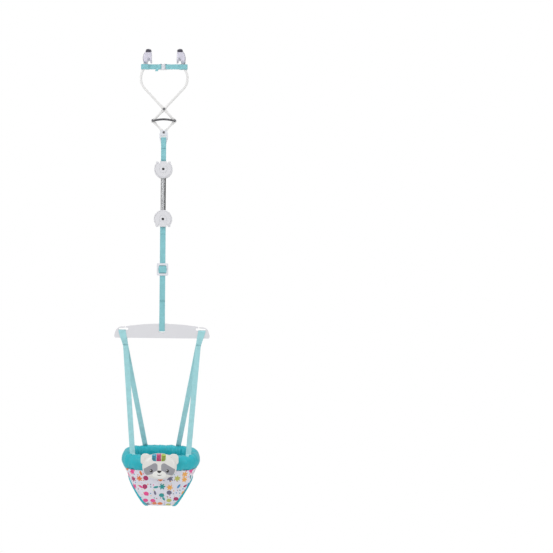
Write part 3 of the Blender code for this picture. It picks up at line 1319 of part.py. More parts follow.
def seat_strap(name, side, finish, pivot):
    """One webbing over a hook: down to the ring's front and to its rear."""
    outside = SPREADER_HALF_DEPTH + GAP + WEBBING / 2
    over = HOOK_Z + GAP + WEBBING / 2
    foot = SPREADER_FLOOR_Z - WEBBING
    top = RING_Z + RING_SECTION_HALF_HEIGHT + SEAT_STRAP_END_LIFT
    bends = rounded([
        (-STRAP_CLOSED, SEAT_STRAP_SEWN_Z, 0),
        (-STRAP_CLOSED, SEAT_STRAP_SEWN_TOP_Z, STRAP_CORNER),
        (-outside, foot, STRAP_CORNER),
        (-outside, over, SHARP_BEND),
        (outside, over, SHARP_BEND),
        (outside, foot, STRAP_CORNER),
        (STRAP_CLOSED, SEAT_STRAP_SEWN_TOP_Z, STRAP_CORNER),
        (STRAP_CLOSED, SEAT_STRAP_SEWN_Z, 0),
    ], closed=False)
    points = []
    for a, b in bends:
        inset_share = max(0, foot - b) / (foot - SEAT_STRAP_SEWN_Z)
        points.append(Vector((HOOK_X - SEAT_STRAP_SEWN_INSET * inset_share, a, b)))
    points.insert(0, Vector((FRONT_ANCHOR_X, -ring_depth_at(FRONT_ANCHOR_X), top)))
    points.append(Vector((REAR_ANCHOR_X, ring_depth_at(REAR_ANCHOR_X), top)))
    rings = []
    for index, point in enumerate(points):
        run = (points[min(index + 1, len(points) - 1)] - points[max(index - 1, 0)]).normalized()
        across = (Vector((1, 0, 0)) - run * run.x).normalized()
        through = run.cross(across)
        rings.append([point + across * SEAT_STRAP_HALF_WIDTH * a + through * WEBBING / 2 * b
                      for a, b in ((-1, -1), (1, -1), (1, 1), (-1, 1))])
    return add(name, sided(skin(rings), side), finish, pivot)


def toy_outline(inset=0):
    """Head with two round ears, as (x, z): the farther of the head's edge and the ear's edge."""
    outline = []
    for k in range(TOY_STEPS):
        angle = 2 * math.pi * (k + 0.5) / TOY_STEPS
        radius = plan_radius(angle, TOY_HALF_WIDTH, TOY_HALF_HEIGHT, TOY_POWER)
        along = abs(math.cos(angle)) * EAR_X + math.sin(angle) * EAR_Z
        beside = EAR_RADIUS ** 2 - (EAR_X ** 2 + EAR_Z ** 2 - along ** 2)
        if along > 0 and beside > 0:
            radius = max(radius, along + math.sqrt(beside))
        outline.append(((radius - inset) * math.cos(angle), (radius - inset) * math.sin(angle)))
    return outline


def toy_dome(depth, inset=0, grow=0):
    """Closed form whose outline shrinks towards the face at y = depth."""
    outline = toy_outline(inset)
    facing = math.copysign(1, depth)
    reach = depth - facing * inset
    rings = [[(a, facing * (HOUSING_PARTING - grow), b) for a, b in outline]]
    for depth_share, size_share in DOME_SHARES[1:]:
        rings.append([(a * size_share, reach * depth_share, b * size_share) for a, b in outline])
    return skin(rings)


def lens_outline(index, grow=0):
    low = LENS_EDGES_X[index] + LENS_RIB - grow
    high = LENS_EDGES_X[index + 1] - LENS_RIB + grow
    return rounded([(low, LENS_BOTTOM_Z - grow, LENS_CORNER), (high, LENS_BOTTOM_Z - grow, LENS_CORNER),
                    (high, 2 * TOY_HALF_HEIGHT, 0), (low, 2 * TOY_HALF_HEIGHT, 0)])


def toy_front(finish):
    obj = add("toy_front_shell", toy_dome(-TOY_FRONT_DEPTH), finish)
    steps = [("DIFFERENCE", toy_dome(-TOY_FRONT_DEPTH, TOY_WALL, WEBBING))]
    for index in range(3):
        steps.append(("DIFFERENCE", prism(lens_outline(index, GAP), -2 * TOY_FRONT_DEPTH, LENS_BACK_Y + GAP)))
    boolean(obj, steps)
    return obj


def toy_lens(name, index, finish):
    obj = add(name, prism(lens_outline(index), -2 * TOY_FRONT_DEPTH, LENS_BACK_Y), finish)
    boolean(obj, (
        ("INTERSECT", toy_dome(-TOY_FRONT_DEPTH)),
        ("DIFFERENCE", toy_dome(-TOY_FRONT_DEPTH, TOY_WALL, WEBBING)),
    ))
    return obj


def toy_back(finish):
    """Back shell with its battery opening, switch slot, screw posts, board posts and strap lugs."""
    obj = add("toy_back_shell", toy_dome(TOY_BACK_DEPTH), finish)
    steps = [("DIFFERENCE", toy_dome(TOY_BACK_DEPTH, TOY_WALL, WEBBING))]
    inner = TOY_BACK_DEPTH - TOY_WALL
    for x, z in TOY_SCREW_PLACES:
        steps.append(("UNION", prism(circle(x, z, POST_RADIUS, SMALL_SIDES), POST_END_Y, inner + TOY_WALL / 2)))
    for side in (-1, 1):
        steps.append(("UNION", prism(circle(side * BOARD_POST_X, BOARD_Z, POST_RADIUS, SMALL_SIDES),
                                     BOARD_Y + BOARD_THICKNESS + GAP, inner + TOY_WALL / 2)))
    for side in (-1, 1):
        low, high = sorted((side * LUG_HALF_WIDTH, side * LUG_OUTER_HALF_WIDTH))
        steps.append(("UNION", prism(lug_outline(), low, high, "X")))
    steps.append(("UNION", prism(circle(*lug_centre(), LUG_PIN_RADIUS, SMALL_SIDES), -LUG_OUTER_HALF_WIDTH + GAP,
                                 LUG_OUTER_HALF_WIDTH - GAP, "X")))
    for x, z in TOY_SCREW_PLACES:
        steps.append(("DIFFERENCE", prism(circle(x, z, SCREW_SHANK_RADIUS + GAP, SMALL_SIDES),
                                          TOY_BACK_DEPTH - TOY_SCREW_LENGTH - GAP, 2 * TOY_BACK_DEPTH)))
        steps.append(("DIFFERENCE", prism(circle(x, z, TOY_SCREW_RADIUS + GAP, SMALL_SIDES),
                                          TOY_BACK_DEPTH - TOY_SCREW_HEIGHT - GAP, 2 * TOY_BACK_DEPTH)))
    steps.append(("DIFFERENCE", prism(door_outline(GAP), inner - GAP, 2 * TOY_BACK_DEPTH)))
    travel = SWITCH_HALF_HEIGHT + SWITCH_TRAVEL + GAP
    steps.append(("DIFFERENCE", block(
        (TOY_HALF_WIDTH - 2 * SWITCH_ROOT, SWITCH_Y - SWITCH_HALF_DEPTH - GAP, -travel),
        (TOY_HALF_WIDTH + SWITCH_ROOT, SWITCH_Y + SWITCH_HALF_DEPTH + GAP, travel))))
    boolean(obj, steps)
    return obj


def lug_centre():
    return TOY_BACK_DEPTH + LUG_REACH - LUG_PIN_RADIUS, LUG_Z


def lug_outline():
    """Strap lug seen from the side, as (y, z)."""
    root = TOY_BACK_DEPTH - TOY_WALL / 2
    tip = TOY_BACK_DEPTH + LUG_REACH + LUG_PIN_RADIUS / 2
    tall = LUG_REACH
    return rounded([(root, LUG_Z - tall, 0), (tip, LUG_Z - tall / 2, LUG_PIN_RADIUS),
                    (tip, LUG_Z + tall / 2, LUG_PIN_RADIUS), (root, LUG_Z + tall, 0)])


def door_outline(grow=0):
    wide = DOOR_HALF_WIDTH + grow
    tall = DOOR_HALF_HEIGHT + grow
    return rounded([(-wide, CELL_Z - tall, DOOR_CORNER), (wide, CELL_Z - tall, DOOR_CORNER),
                    (wide, CELL_Z + tall, DOOR_CORNER), (-wide, CELL_Z + tall, DOOR_CORNER)])


def placed_on_toy(pieces):
    """Move pieces built in the toy's own frame to the toy's place and lean."""
    for piece in pieces:
        local = Matrix.Translation(piece.location)
        piece.matrix_world = Matrix.Translation(TOY_CENTRE) @ Matrix.Rotation(TOY_LEAN, 4, "X") @ local


def toy(finishes):
    """The toy's pieces in its own frame; returns those that flip with it, and the switch."""
    pieces = [toy_front(finishes["shell"]), toy_back(finishes["shell"])]
    for index, side in enumerate(("left", "middle", "right")):
        pieces.append(toy_lens("toy_lens_" + side, index, finishes[side]))
    board = add("toy_light_board", block(
        (-BOARD_HALF_WIDTH, BOARD_Y, BOARD_Z - BOARD_HALF_HEIGHT),
        (BOARD_HALF_WIDTH, BOARD_Y + BOARD_THICKNESS, BOARD_Z + BOARD_HALF_HEIGHT)), finishes["board"])
    lamps = []
    for index in range(3):
        x = (LENS_EDGES_X[index] + LENS_EDGES_X[index + 1]) / 2
        lamps.append(("UNION", prism(circle(x, BOARD_Z + LAMP_RADIUS, LAMP_RADIUS, SMALL_SIDES),
                                     BOARD_Y - LAMP_HEIGHT, BOARD_Y + BOARD_THICKNESS / 2)))
    boolean(board, lamps)
    pieces.append(board)
    cells = add("toy_button_cells", block(
        (-CELL_SPACING, CELL_Y + CELL_THICKNESS / 2, CELL_Z - CELL_STRIP_HALF_HEIGHT),
        (CELL_SPACING, CELL_Y + CELL_THICKNESS / 2 + CELL_STRIP_THICKNESS, CELL_Z + CELL_STRIP_HALF_HEIGHT)),
        finishes["steel"])
    boolean(cells, [("UNION", prism(circle(k * CELL_SPACING, CELL_Z, CELL_RADIUS), CELL_Y, CELL_Y + CELL_THICKNESS))
                    for k in (-1, 0, 1)])
    pieces.append(cells)
    face = TOY_BACK_DEPTH
    screw_x = DOOR_HALF_WIDTH - 2 * TOY_SCREW_RADIUS
    door = add("toy_battery_door", prism(door_outline(), face - DOOR_THICKNESS, face), finishes["shell"])
    boolean(door, (
        ("DIFFERENCE", prism(circle(screw_x, CELL_Z, TOY_SCREW_RADIUS + GAP, SMALL_SIDES),
                             face - TOY_SCREW_HEIGHT / 2 - GAP, 2 * face)),
        ("DIFFERENCE", prism(circle(screw_x, CELL_Z, SCREW_SHANK_RADIUS + GAP, SMALL_SIDES), 0, 2 * face)),
    ))
    pieces.append(door)
    pieces.append(add("toy_speaker", prism(circle(0, SPEAKER_Z, SPEAKER_RADIUS), SPEAKER_Y,
                                           SPEAKER_Y + SPEAKER_THICKNESS), finishes["dark"]))
    source = screw("toy_screw_1", TOY_SCREW_RADIUS, TOY_SCREW_HEIGHT / 2, SCREW_SHANK_RADIUS,
                   TOY_SCREW_LENGTH - TOY_SCREW_HEIGHT, finishes["steel"], SMALL_SIDES)
    pieces.append(source)
    source.data.transform(Matrix.Rotation(math.pi, 4, "X"))
    for index, (x, z) in enumerate(TOY_SCREW_PLACES):
        item = source if index == 0 else copied("toy_screw_" + str(index + 1), source, (0, 0, 0), 0)
        item.location = (x, face - TOY_SCREW_HEIGHT / 2, z)
        if index:
            pieces.append(item)
    door_screw = screw("toy_battery_door_screw", TOY_SCREW_RADIUS, TOY_SCREW_HEIGHT / 2, SCREW_SHANK_RADIUS,
                       DOOR_THICKNESS, finishes["steel"], SMALL_SIDES)
    door_screw.data.transform(Matrix.Rotation(math.pi, 4, "X"))
    door_screw.location = (screw_x, face, CELL_Z)
    pieces.append(door_screw)
    switch = add("toy_switch_knob", block(
        (TOY_HALF_WIDTH - SWITCH_ROOT, SWITCH_Y - SWITCH_HALF_DEPTH, -SWITCH_HALF_HEIGHT),
        (TOY_HALF_WIDTH + SWITCH_STAND_OUT, SWITCH_Y + SWITCH_HALF_DEPTH, SWITCH_HALF_HEIGHT)), finishes["dark"])
    placed_on_toy(pieces + [switch])
    return pieces, switch


def toy_strap(name, finish, pivot):
    """Band of webbing round the ring and over the pin on the toy's back."""
    y, z = lug_centre()
    pin = Matrix.Translation(TOY_CENTRE) @ Matrix.Rotation(TOY_LEAN, 4, "X") @ Vector((0, y, z))
    clear = 2 * GAP + WEBBING / 2
    path = []
    sweep = 2 * math.pi + TOY_STRAP_LEAVE - TOY_STRAP_MEET
    for k in range(TOY_STRAP_STEPS + 1):
        angle = TOY_STRAP_LEAVE - sweep * k / TOY_STRAP_STEPS
        path.append(Vector((-RING_HALF_DEPTH + (RING_SECTION_HALF_WIDTH + clear) * math.cos(angle),
                            RING_Z + (RING_SECTION_HALF_HEIGHT + clear) * math.sin(angle))))
    reach = LUG_PIN_RADIUS + GAP + WEBBING / 2
    for k in range(5):
        angle = TOY_STRAP_PIN_START + (TOY_STRAP_PIN_END - TOY_STRAP_PIN_START) * k / 4
        path.append(Vector((pin.y + reach * math.cos(angle), pin.z + reach * math.sin(angle))))
    width = TOY_STRAP_HALF_WIDTH
    return add(name, webbing(path, -width, width, "X", closed=True), finish, pivot), pin


def build():
    clear_scene()
    coated = material("coated_steel", WHITE, 0.35)
    white_plastic = material("white_plastic", WHITE, 0.4)
    disc_plastic = material("housing_plastic", DISC_WHITE, 0.3)
    clear_boot = material("boot_vinyl", BOOT_TINT, 0.25)
    black_rubber = material("black_rubber", BLACK, 0.6)
    steel = material("zinc_steel", STEEL, 0.3, 1.0)
    polished = material("polished_steel", STEEL, 0.12, 1.0)
    dark_steel = material("dark_steel", DARK_STEEL, 0.35, 1.0)
    black_screw = material("black_screw", BLACK, 0.4, 0.6)
    webbing_teal = material("turquoise_webbing", TURQUOISE, 0.8)
    webbing_pale = material("pale_turquoise_webbing", PALE_TURQUOISE, 0.8)
    white_webbing = material("white_webbing", WHITE, 0.8)
    cuff_fabric = material("teal_fabric", TEAL, 0.75)
    print_fabric = material("print_fabric", PRINT_GROUND, 0.85)
    toy_finishes = {
        "shell": material("toy_plastic", TOY_SHELL, 0.35),
        "left": material("blue_lens", LENS_BLUE, 0.15),
        "middle": material("pink_lens", LENS_PINK, 0.15),
        "right": material("lime_lens", LENS_LIME, 0.15),
        "board": material("circuit_board", GREEN_BOARD, 0.5),
        "steel": steel,
        "dark": material("dark_plastic", DARK_STEEL, 0.5),
    }

    clamp_pivot = (0, 0, PIVOT_Z)
    knees = {side: (side * KNEE_X, 0, KNEE_Z) for side in (-1, 1)}
    foot = (0, 0, BRACKET_PIVOT_Z)

    # Clamp
    eye = ARM_LAYER + EYE_HALF_THICKNESS
    link_face = LINK_LAYER + LINK_HALF_THICKNESS
    pivot_rivet = rivet("pivot_rivet", (0, PIVOT_Z), -eye, eye, PIVOT_SHANK_RADIUS, PIVOT_HEAD_RADIUS,
                        steel, clamp_pivot)
    spring_points, coil = clamp_spring_points()
    clamp_spring = wire("clamp_spring", spring_points, CLAMP_WIRE_RADIUS, dark_steel, clamp_pivot)
    least_gap("clamp_spring", coil, CLAMP_WIRE_RADIUS, CURL_POINTS)
    socket, plug = buckle(white_plastic, white_plastic, clamp_pivot)
    frame = body("clamp_frame", clamp_pivot, (pivot_rivet, clamp_spring, socket))
    body("buckle_plug_slide", clamp_pivot, (plug,), frame)

    sides = {}
    for word, side, pin_x in (("left", -1, SOCKET_PIN_X), ("right", 1, PLUG_PIN_X)):
        pieces = (
            arm("clamp_arm_" + word, side, coated),
            boot("jaw_boot_" + word, side, clear_boot),
            cap("jaw_cap_" + word, side, black_rubber),
            safety_strap("safety_strap_" + word, side, pin_x, webbing_teal),
        )
        sides[side] = body("arm_" + word, clamp_pivot, pieces, frame)
    # The left arm's lower end is the right knee, and the right arm's the left knee
    right_rivet = rivet("link_rivet_right", (KNEE_X, KNEE_Z), -eye, link_face, RIVET_SHANK_RADIUS,
                        RIVET_HEAD_RADIUS, steel, knees[1], SPRING_STUD_LENGTH)
    left_rivet = rivet("link_rivet_left", (-KNEE_X, KNEE_Z), -eye, eye, RIVET_SHANK_RADIUS,
                       RIVET_HEAD_RADIUS, steel, knees[-1], SPRING_STUD_LENGTH)
    for rivet_piece, arm_body in ((right_rivet, sides[-1]), (left_rivet, sides[1])):
        rivet_piece.parent = arm_body
        rivet_piece.matrix_parent_inverse = arm_body.matrix_world.inverted()
    body("lower_link_right", knees[1], (link("clamp_link_right", 1, coated),), sides[-1])
    body("lower_link_left", knees[-1], (link("clamp_link_left", -1, coated),), sides[1])
    ear = BRACKET_HALF_DEPTH
    bracket_rivet = rivet("bracket_rivet", (0, BRACKET_PIVOT_Z), -ear, ear, RIVET_SHANK_RADIUS,
                          RIVET_HEAD_RADIUS, steel, foot)
    bracket_pin = body("bracket_pin", foot, (bracket_rivet,), frame)
    yoke = body("yoke", foot, (bracket("bracket", white_plastic),), bracket_pin)

    # Spring unit
    swing = (0, 0, BRACKET_SLOT_FLOOR_Z)
    upper_strap = add("upper_strap", webbing(upper_strap_path(), -STRAP_HALF_WIDTH, STRAP_HALF_WIDTH,
                                             "X", closed=True), webbing_teal, swing)
    front = housing_shell("upper_housing_front", -1, disc_plastic)
    back = housing_shell("upper_housing_back", 1, disc_plastic)
    housing_screw = screw("upper_housing_screw", HOUSING_SCREW_HEAD_RADIUS, HOUSING_SCREW_HEAD_DEPTH,
                          HOUSING_SCREW_SHANK_RADIUS, HOUSING_SCREW_LENGTH, black_screw)
    housing_screw.data.transform(Matrix.Translation((0, -HOUSING_HALF_DEPTH, 0)))
    strap_pin = add("upper_strap_pin", prism(circle(0, STRAP_PIN_RISE, STRAP_PIN_RADIUS),
                                             -STRAP_PIN_HALF_LENGTH, STRAP_PIN_HALF_LENGTH, "X"), steel)
    anchor = add("upper_spring_anchor", prism(circle(0, ANCHOR_DROP, ANCHOR_RADIUS),
                                              -ANCHOR_HALF_LENGTH, ANCHOR_HALF_LENGTH), steel)
    upper_pieces = [front, back, housing_screw, strap_pin, anchor]
    lower_pieces = [copied(piece.name.replace("upper", "lower"), piece, (0, 0, LOWER_HOUSING_Z), math.pi)
                    for piece in upper_pieces]
    for piece in upper_pieces:
        piece.location = (0, 0, UPPER_HOUSING_Z)
    coil_points, main_coil = main_spring_points()
    main_spring = wire("main_spring", coil_points, MAIN_WIRE_RADIUS, polished, (0, 0, UPPER_HOUSING_Z))
    least_gap("main_spring", main_coil, MAIN_WIRE_RADIUS, CURL_POINTS)
    cord = wire("safety_cord", safety_cord_points(), CORD_RADIUS, white_webbing, (0, 0, UPPER_HOUSING_Z),
                closed=True)
    upper_unit = body("upper_unit", swing, upper_pieces + [upper_strap, main_spring, cord], yoke)

    # Height adjuster
    width = ADJUSTER_HALF_WIDTH
    upper_run = add("adjuster_strap_upper", webbing(adjuster_upper_path(), -width, width), webbing_teal,
                    (0, 0, LOWER_HOUSING_Z))
    lower_unit = body("lower_unit", (0, 0, LOWER_HOUSING_Z), lower_pieces + [upper_run], upper_unit)
    slide = body("adjuster_slide", (0, 0, SLIDER_Z), (slider("adjuster_slider", white_plastic),), lower_unit)
    lower_run = add("adjuster_strap_lower", webbing(adjuster_lower_path(), -width, width, "X", closed=True),
                    webbing_teal, (0, 0, STRAP_SLOT_TOP_Z))
    loop_body = body("strap_loop", (0, 0, STRAP_SLOT_TOP_Z), (lower_run,), slide)
    tilt = (0, 0, STRAP_SLOT_TOP_Z)
    bar_body = body("spreader_tilt", tilt, (spreader("spreader", disc_plastic),), loop_body)

    # Seat
    hooks = (0, 0, HOOK_Z)
    seat_pieces = [seat_ring("seat_ring", cuff_fabric, hooks), seat_shell("seat_shell", print_fabric, hooks)]
    for word, side in (("left", -1), ("right", 1)):
        seat_pieces.append(seat_strap("seat_strap_" + word, side, webbing_pale, hooks))
        seat_pieces.append(leg_binding("leg_binding_" + word, side, cuff_fabric, hooks))
    strap, toy_pin = toy_strap("toy_strap", cuff_fabric, hooks)
    seat_body = body("seat_swing", hooks, seat_pieces + [strap], bar_body)

    # Toy
    toy_pieces, switch = toy(toy_finishes)
    bpy.context.view_layer.update()
    toy_body = body("toy_flip", toy_pin, toy_pieces, seat_body)
    body("toy_switch_slide", toy_pin, (switch,), toy_body)
    print("toy pin", [round(value, 5) for value in toy_pin])


build()
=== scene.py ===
"""Looks of the baby doorway jumper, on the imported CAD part, in metres with +Z up.

Soft pieces, wound wire, the clamp's arms, the toy's face and the moulded pieces that show are built here in
the row frame. The other pieces are the CAD nodes with better materials.
"""
from math import atan2, ceil, copysign, cos, exp, pi, radians, sin, sqrt, tan

import bmesh
import bpy
from mathutils import Matrix, Vector, noise


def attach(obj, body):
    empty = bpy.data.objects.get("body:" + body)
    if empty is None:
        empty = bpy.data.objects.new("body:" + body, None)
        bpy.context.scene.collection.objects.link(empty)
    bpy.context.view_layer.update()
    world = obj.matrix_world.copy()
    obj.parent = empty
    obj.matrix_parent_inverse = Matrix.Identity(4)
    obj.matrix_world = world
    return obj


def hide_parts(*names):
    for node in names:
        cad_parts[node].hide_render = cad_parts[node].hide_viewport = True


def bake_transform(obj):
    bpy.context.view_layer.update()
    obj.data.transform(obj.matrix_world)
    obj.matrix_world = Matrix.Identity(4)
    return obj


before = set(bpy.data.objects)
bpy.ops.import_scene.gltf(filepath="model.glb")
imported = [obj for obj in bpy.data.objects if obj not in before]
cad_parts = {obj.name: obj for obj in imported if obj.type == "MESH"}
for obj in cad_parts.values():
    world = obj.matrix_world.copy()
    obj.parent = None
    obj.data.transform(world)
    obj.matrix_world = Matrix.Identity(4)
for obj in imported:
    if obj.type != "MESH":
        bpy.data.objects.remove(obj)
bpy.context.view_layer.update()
RIGHT = Vector((1, 0, 0))

# Heights down the line, as in the part's source
KNEE_X = 0.044
KNEE_Z = -0.259
BAR_Z = -0.3264
BRACKET_FOOT_Z = -0.351
UPPER_HOUSING_Z = -0.453
LOWER_HOUSING_Z = -0.653
SLIDER_Z = -0.854
HOOK_Z = -1.099
HOOK_X = 0.160
SPREADER_FLOOR_Z = -1.129
RING_Z = -1.607

# Webbing
WEBBING = 0.0016
GAP = 0.0003
STRAP_STEP = 0.0030
FINE = radians(12)
TOP_SHARES = (
    (-1, 0.3), (-0.97, 0.85), (-0.88, 1), (-0.4, 1), (0, 1), (0.4, 1), (0.88, 1), (0.97, 0.85), (1, 0.3),
)
STRAP_SECTION_SHARES = TOP_SHARES + tuple((a, -b) for a, b in reversed(TOP_SHARES))

# Smallest angles between faces that stay a crease
LOFT_CREASE = radians(50)
CUT_CREASE = radians(40)
CLOTH_CREASE = radians(60)
BEVEL_ANGLE = radians(35)


def smooth(share):
    share = min(1.0, max(0.0, share))
    return share * share * (3 - 2 * share)


def reaches(points):
    """Distance along the line to each of its points."""
    found = [0.0]
    for near, far in zip(points, points[1:]):
        found.append(found[-1] + (far - near).length)
    return found


def runs(points, closed=False):
    """Direction of the line at each of its points."""
    count = len(points)
    found = []
    for index, point in enumerate(points):
        before = points[index - 1] if closed or index else point
        after = points[(index + 1) % count] if closed or index < count - 1 else point
        found.append((after - before).normalized())
    return found


def resampled(points, spacing, closed=False):
    """Points along the same line, evenly spaced."""
    line = [Vector(p) for p in points]
    if closed:
        line.append(line[0])
    reach = reaches(line)
    count = max(2, ceil(reach[-1] / spacing))
    found = []
    index = 0
    for k in range(count if closed else count + 1):
        distance = reach[-1] * k / count
        while index < len(line) - 2 and reach[index + 1] < distance:
            index += 1
        span = reach[index + 1] - reach[index]
        share = (distance - reach[index]) / span if span else 0
        found.append(line[index].lerp(line[index + 1], min(1, share)))
    return found


def rounded(corners, closed=True):
    """Points along the corners, each an (a, b, radius), with an arc in each corner's place."""
    points = []
    count = len(corners)
    for index, (a, b, radius) in enumerate(corners):
        here = Vector((a, b))
        if radius == 0 or (not closed and index in (0, count - 1)):
            points.append(here)
            continue
        back = (Vector(corners[index - 1][:2]) - here).normalized()
        ahead = (Vector(corners[(index + 1) % count][:2]) - here).normalized()
        half = back.angle(ahead) / 2
        centre = here + (back + ahead).normalized() * (radius / sin(half))
        first = here + back * (radius / tan(half)) - centre
        last = here + ahead * (radius / tan(half)) - centre
        turn = atan2(first.x * last.y - first.y * last.x, first.dot(last))
        parts = max(1, ceil(abs(turn) / FINE))
        for part in range(parts + 1):
            points.append(centre + Matrix.Rotation(turn * part / parts, 2) @ first)
    return points


def mirrored(half):
    return list(half) + [(-a, b, radius) for a, b, radius in reversed(half)]


def sided(side, point):
    """The point, or its mirror image for the left side, -1."""
    return Vector((side * point.x, point.y, point.z))


def circle(count):
    """Angles evenly spaced round a circle."""
    return [2 * pi * k / count for k in range(count)]


def new_object(name, mesh, finish):
    """Object of that mesh; the finish is a material, or the name of one of the part's finishes."""
    mesh.materials.append(FINISHES[finish] if isinstance(finish, str) else finish)
    obj = bpy.data.objects.new(name, mesh)
    bpy.context.collection.objects.link(obj)
    return obj


def shaded(mesh, crease):
    mesh.shade_smooth()
    mesh.set_sharp_from_angle(angle=crease)


def fitted(piece, bodies, node=None, ends=None):
    """Put the piece on the body it rides on, or, given two bodies and their ends, only put its place into
    its mesh; hide the node it replaces.
    """
    if ends:
        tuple(ends[0])
        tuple(ends[1])
        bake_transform(piece)
    else:
        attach(piece, bodies)
    if node:
        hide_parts(node)
    return piece


def lofted(name, rings, finish, along=False, caps=False):
    """Mesh through rings of points, with a UV map in metres: u round a ring, v along the rings."""
    rings = [[Vector(point) for point in ring] for ring in rings]
    count = len(rings[0])
    widest = max(rings, key=lambda ring: (ring[0] - ring[count // 2]).length)
    across = reaches([*widest, widest[0]])
    down = reaches([ring[0] for ring in (*rings, rings[0])])
    faces = []
    places = []
    for i in range(len(rings) if along else len(rings) - 1):
        after = (i + 1) % len(rings)
        for j in range(count):
            beside = (j + 1) % count
            faces.append((i * count + j, i * count + beside, after * count + beside, after * count + j))
            places += [(across[j], down[i]), (across[j + 1], down[i]),
                       (across[j + 1], down[i + 1]), (across[j], down[i + 1])]
    if caps:
        for k in (0, len(rings) - 1):
            faces.append(tuple(range(k * count, (k + 1) * count)))
            places += [(across[j], down[k]) for j in range(count)]
    mesh = bpy.data.meshes.new(name)
    mesh.from_pydata([tuple(point) for ring in rings for point in ring], [], faces)
    layer = mesh.uv_layers.new(name="UVMap")
    for loop, place in zip(layer.data, places):
        loop.uv = place
    mesh.update()
    bm = bmesh.new()
    bm.from_mesh(mesh)
    bmesh.ops.recalc_face_normals(bm, faces=bm.faces)
    bm.to_mesh(mesh)
    bm.free()
    shaded(mesh, LOFT_CREASE)
    return new_object(name, mesh, finish)


def strap(name, frames, finish, closed=False):
    """Webbing through frames of (middle, direction across, direction through, half width)."""
    rings = []
    for middle, across, through, half in frames:
        rings.append([middle + across * (half * a) + through * (WEBBING / 2 * b)
                      for a, b in STRAP_SECTION_SHARES])
    return lofted(name, rings, finish, along=closed, caps=not closed)


def flat_strap(name, path, half_width, finish, closed=True):
    """Webbing that lies across X, along its (y, z) path; half_width gives its half width at a height."""
    points = resampled(path, STRAP_STEP, closed)
    frames = []
    for point, run in zip(points, runs(points, closed)):
        frames.append((Vector((0, *point)), RIGHT, Vector((0, -run.y, run.x)), half_width(point.y)))
    return strap(name, frames, finish, closed)


def tube(name, points, radius, finish, sides, closed=False):
    """Round bar along points, with a frame carried along so that it doesn't twist."""
    points = [Vector(p) for p in points]
    rings = []
    side = None
    for point, run in zip(points, runs(points, closed)):
        if side is None:
            side = run.orthogonal().normalized()
        side = (side - run * side.dot(run)).normalized()
        other = run.cross(side)
        rings.append([point + (side * cos(turn) + other * sin(turn)) * radius for turn in circle(sides)])
    return lofted(name, rings, finish, along=closed, caps=not closed)


def bridged(loops):
    """Closed solid through loops of points, as a bmesh."""
    bm = bmesh.new()
    loops = [[bm.verts.new(point) for point in loop] for loop in loops]
    for near, far in zip(loops, loops[1:]):
        for index in range(len(near)):
            after = (index + 1) % len(near)
            bm.faces.new((near[index], near[after], far[after], far[index]))
    bm.faces.new(loops[0])
    bm.faces.new(loops[-1])
    return bm


def prism(outline, low, high, across_x=False):
    """The outline from the low depth to the high depth, along Y or across X."""
    loops = [[(depth, a, b) if across_x else (a, depth, b) for a, b in outline] for depth in (low, high)]
    return bridged(loops)


def from_bmesh(name, bm, finish, outward=True):
    if outward:
        bmesh.ops.recalc_face_normals(bm, faces=bm.faces)
    mesh = bpy.data.meshes.new(name)
    bm.to_mesh(mesh)
    bm.free()
    return new_object(name, mesh, finish)


def changed(obj, kind, crease, **settings):
    """Put a modifier's work into the object's mesh."""
    modifier = obj.modifiers.new("change", kind)
    for key, value in settings.items():
        setattr(modifier, key, value)
    bpy.context.view_layer.update()
    mesh = bpy.data.meshes.new_from_object(obj.evaluated_get(bpy.context.evaluated_depsgraph_get()))
    obj.modifiers.clear()
    obj.data = mesh
    shaded(mesh, crease)
    return obj


def cut(obj, operation, cutters):
    """Boolean each of the cutters, a bmesh, on the object."""
    for bm in cutters:
        tool = from_bmesh("cutter", bm, obj.data.materials[0])
        changed(obj, "BOOLEAN", CUT_CREASE, operation=operation, solver="EXACT", object=tool)
        bpy.data.objects.remove(tool, do_unlink=True)
    return obj


# Materials: lengths of what they carry, and how much of it there is to a metre
GRAIN_DEPTH = 0.000008
COATED_GRAIN_DEPTH = 0.000001
METAL_GRAIN_DEPTH = 0.000006
RIB_PITCH = 0.0021
RIB_DEPTH = 0.00022
CLOTH_DEPTH = 0.00006
FACET_PITCH = 0.0030
FACET_DEPTH = 0.0003
LARGE_MOTIF = 0.0300
SMALL_MOTIF = 0.0130
GRAIN_SCALE = 900.0
BRUSHED_SCALE = 1200.0
WEAR_SCALE = 70.0
STAR_SHARE = 0.46
LEAF_SHARE = 0.66
PRINT_COLOURS = (
    (0.78, 0.20, 0.06), (0.80, 0.07, 0.28), (0.42, 0.03, 0.13), (0.02, 0.30, 0.30),
    (0.04, 0.27, 0.55), (0.17, 0.16, 0.24), (0.50, 0.52, 0.12), (0.86, 0.42, 0.10),
)


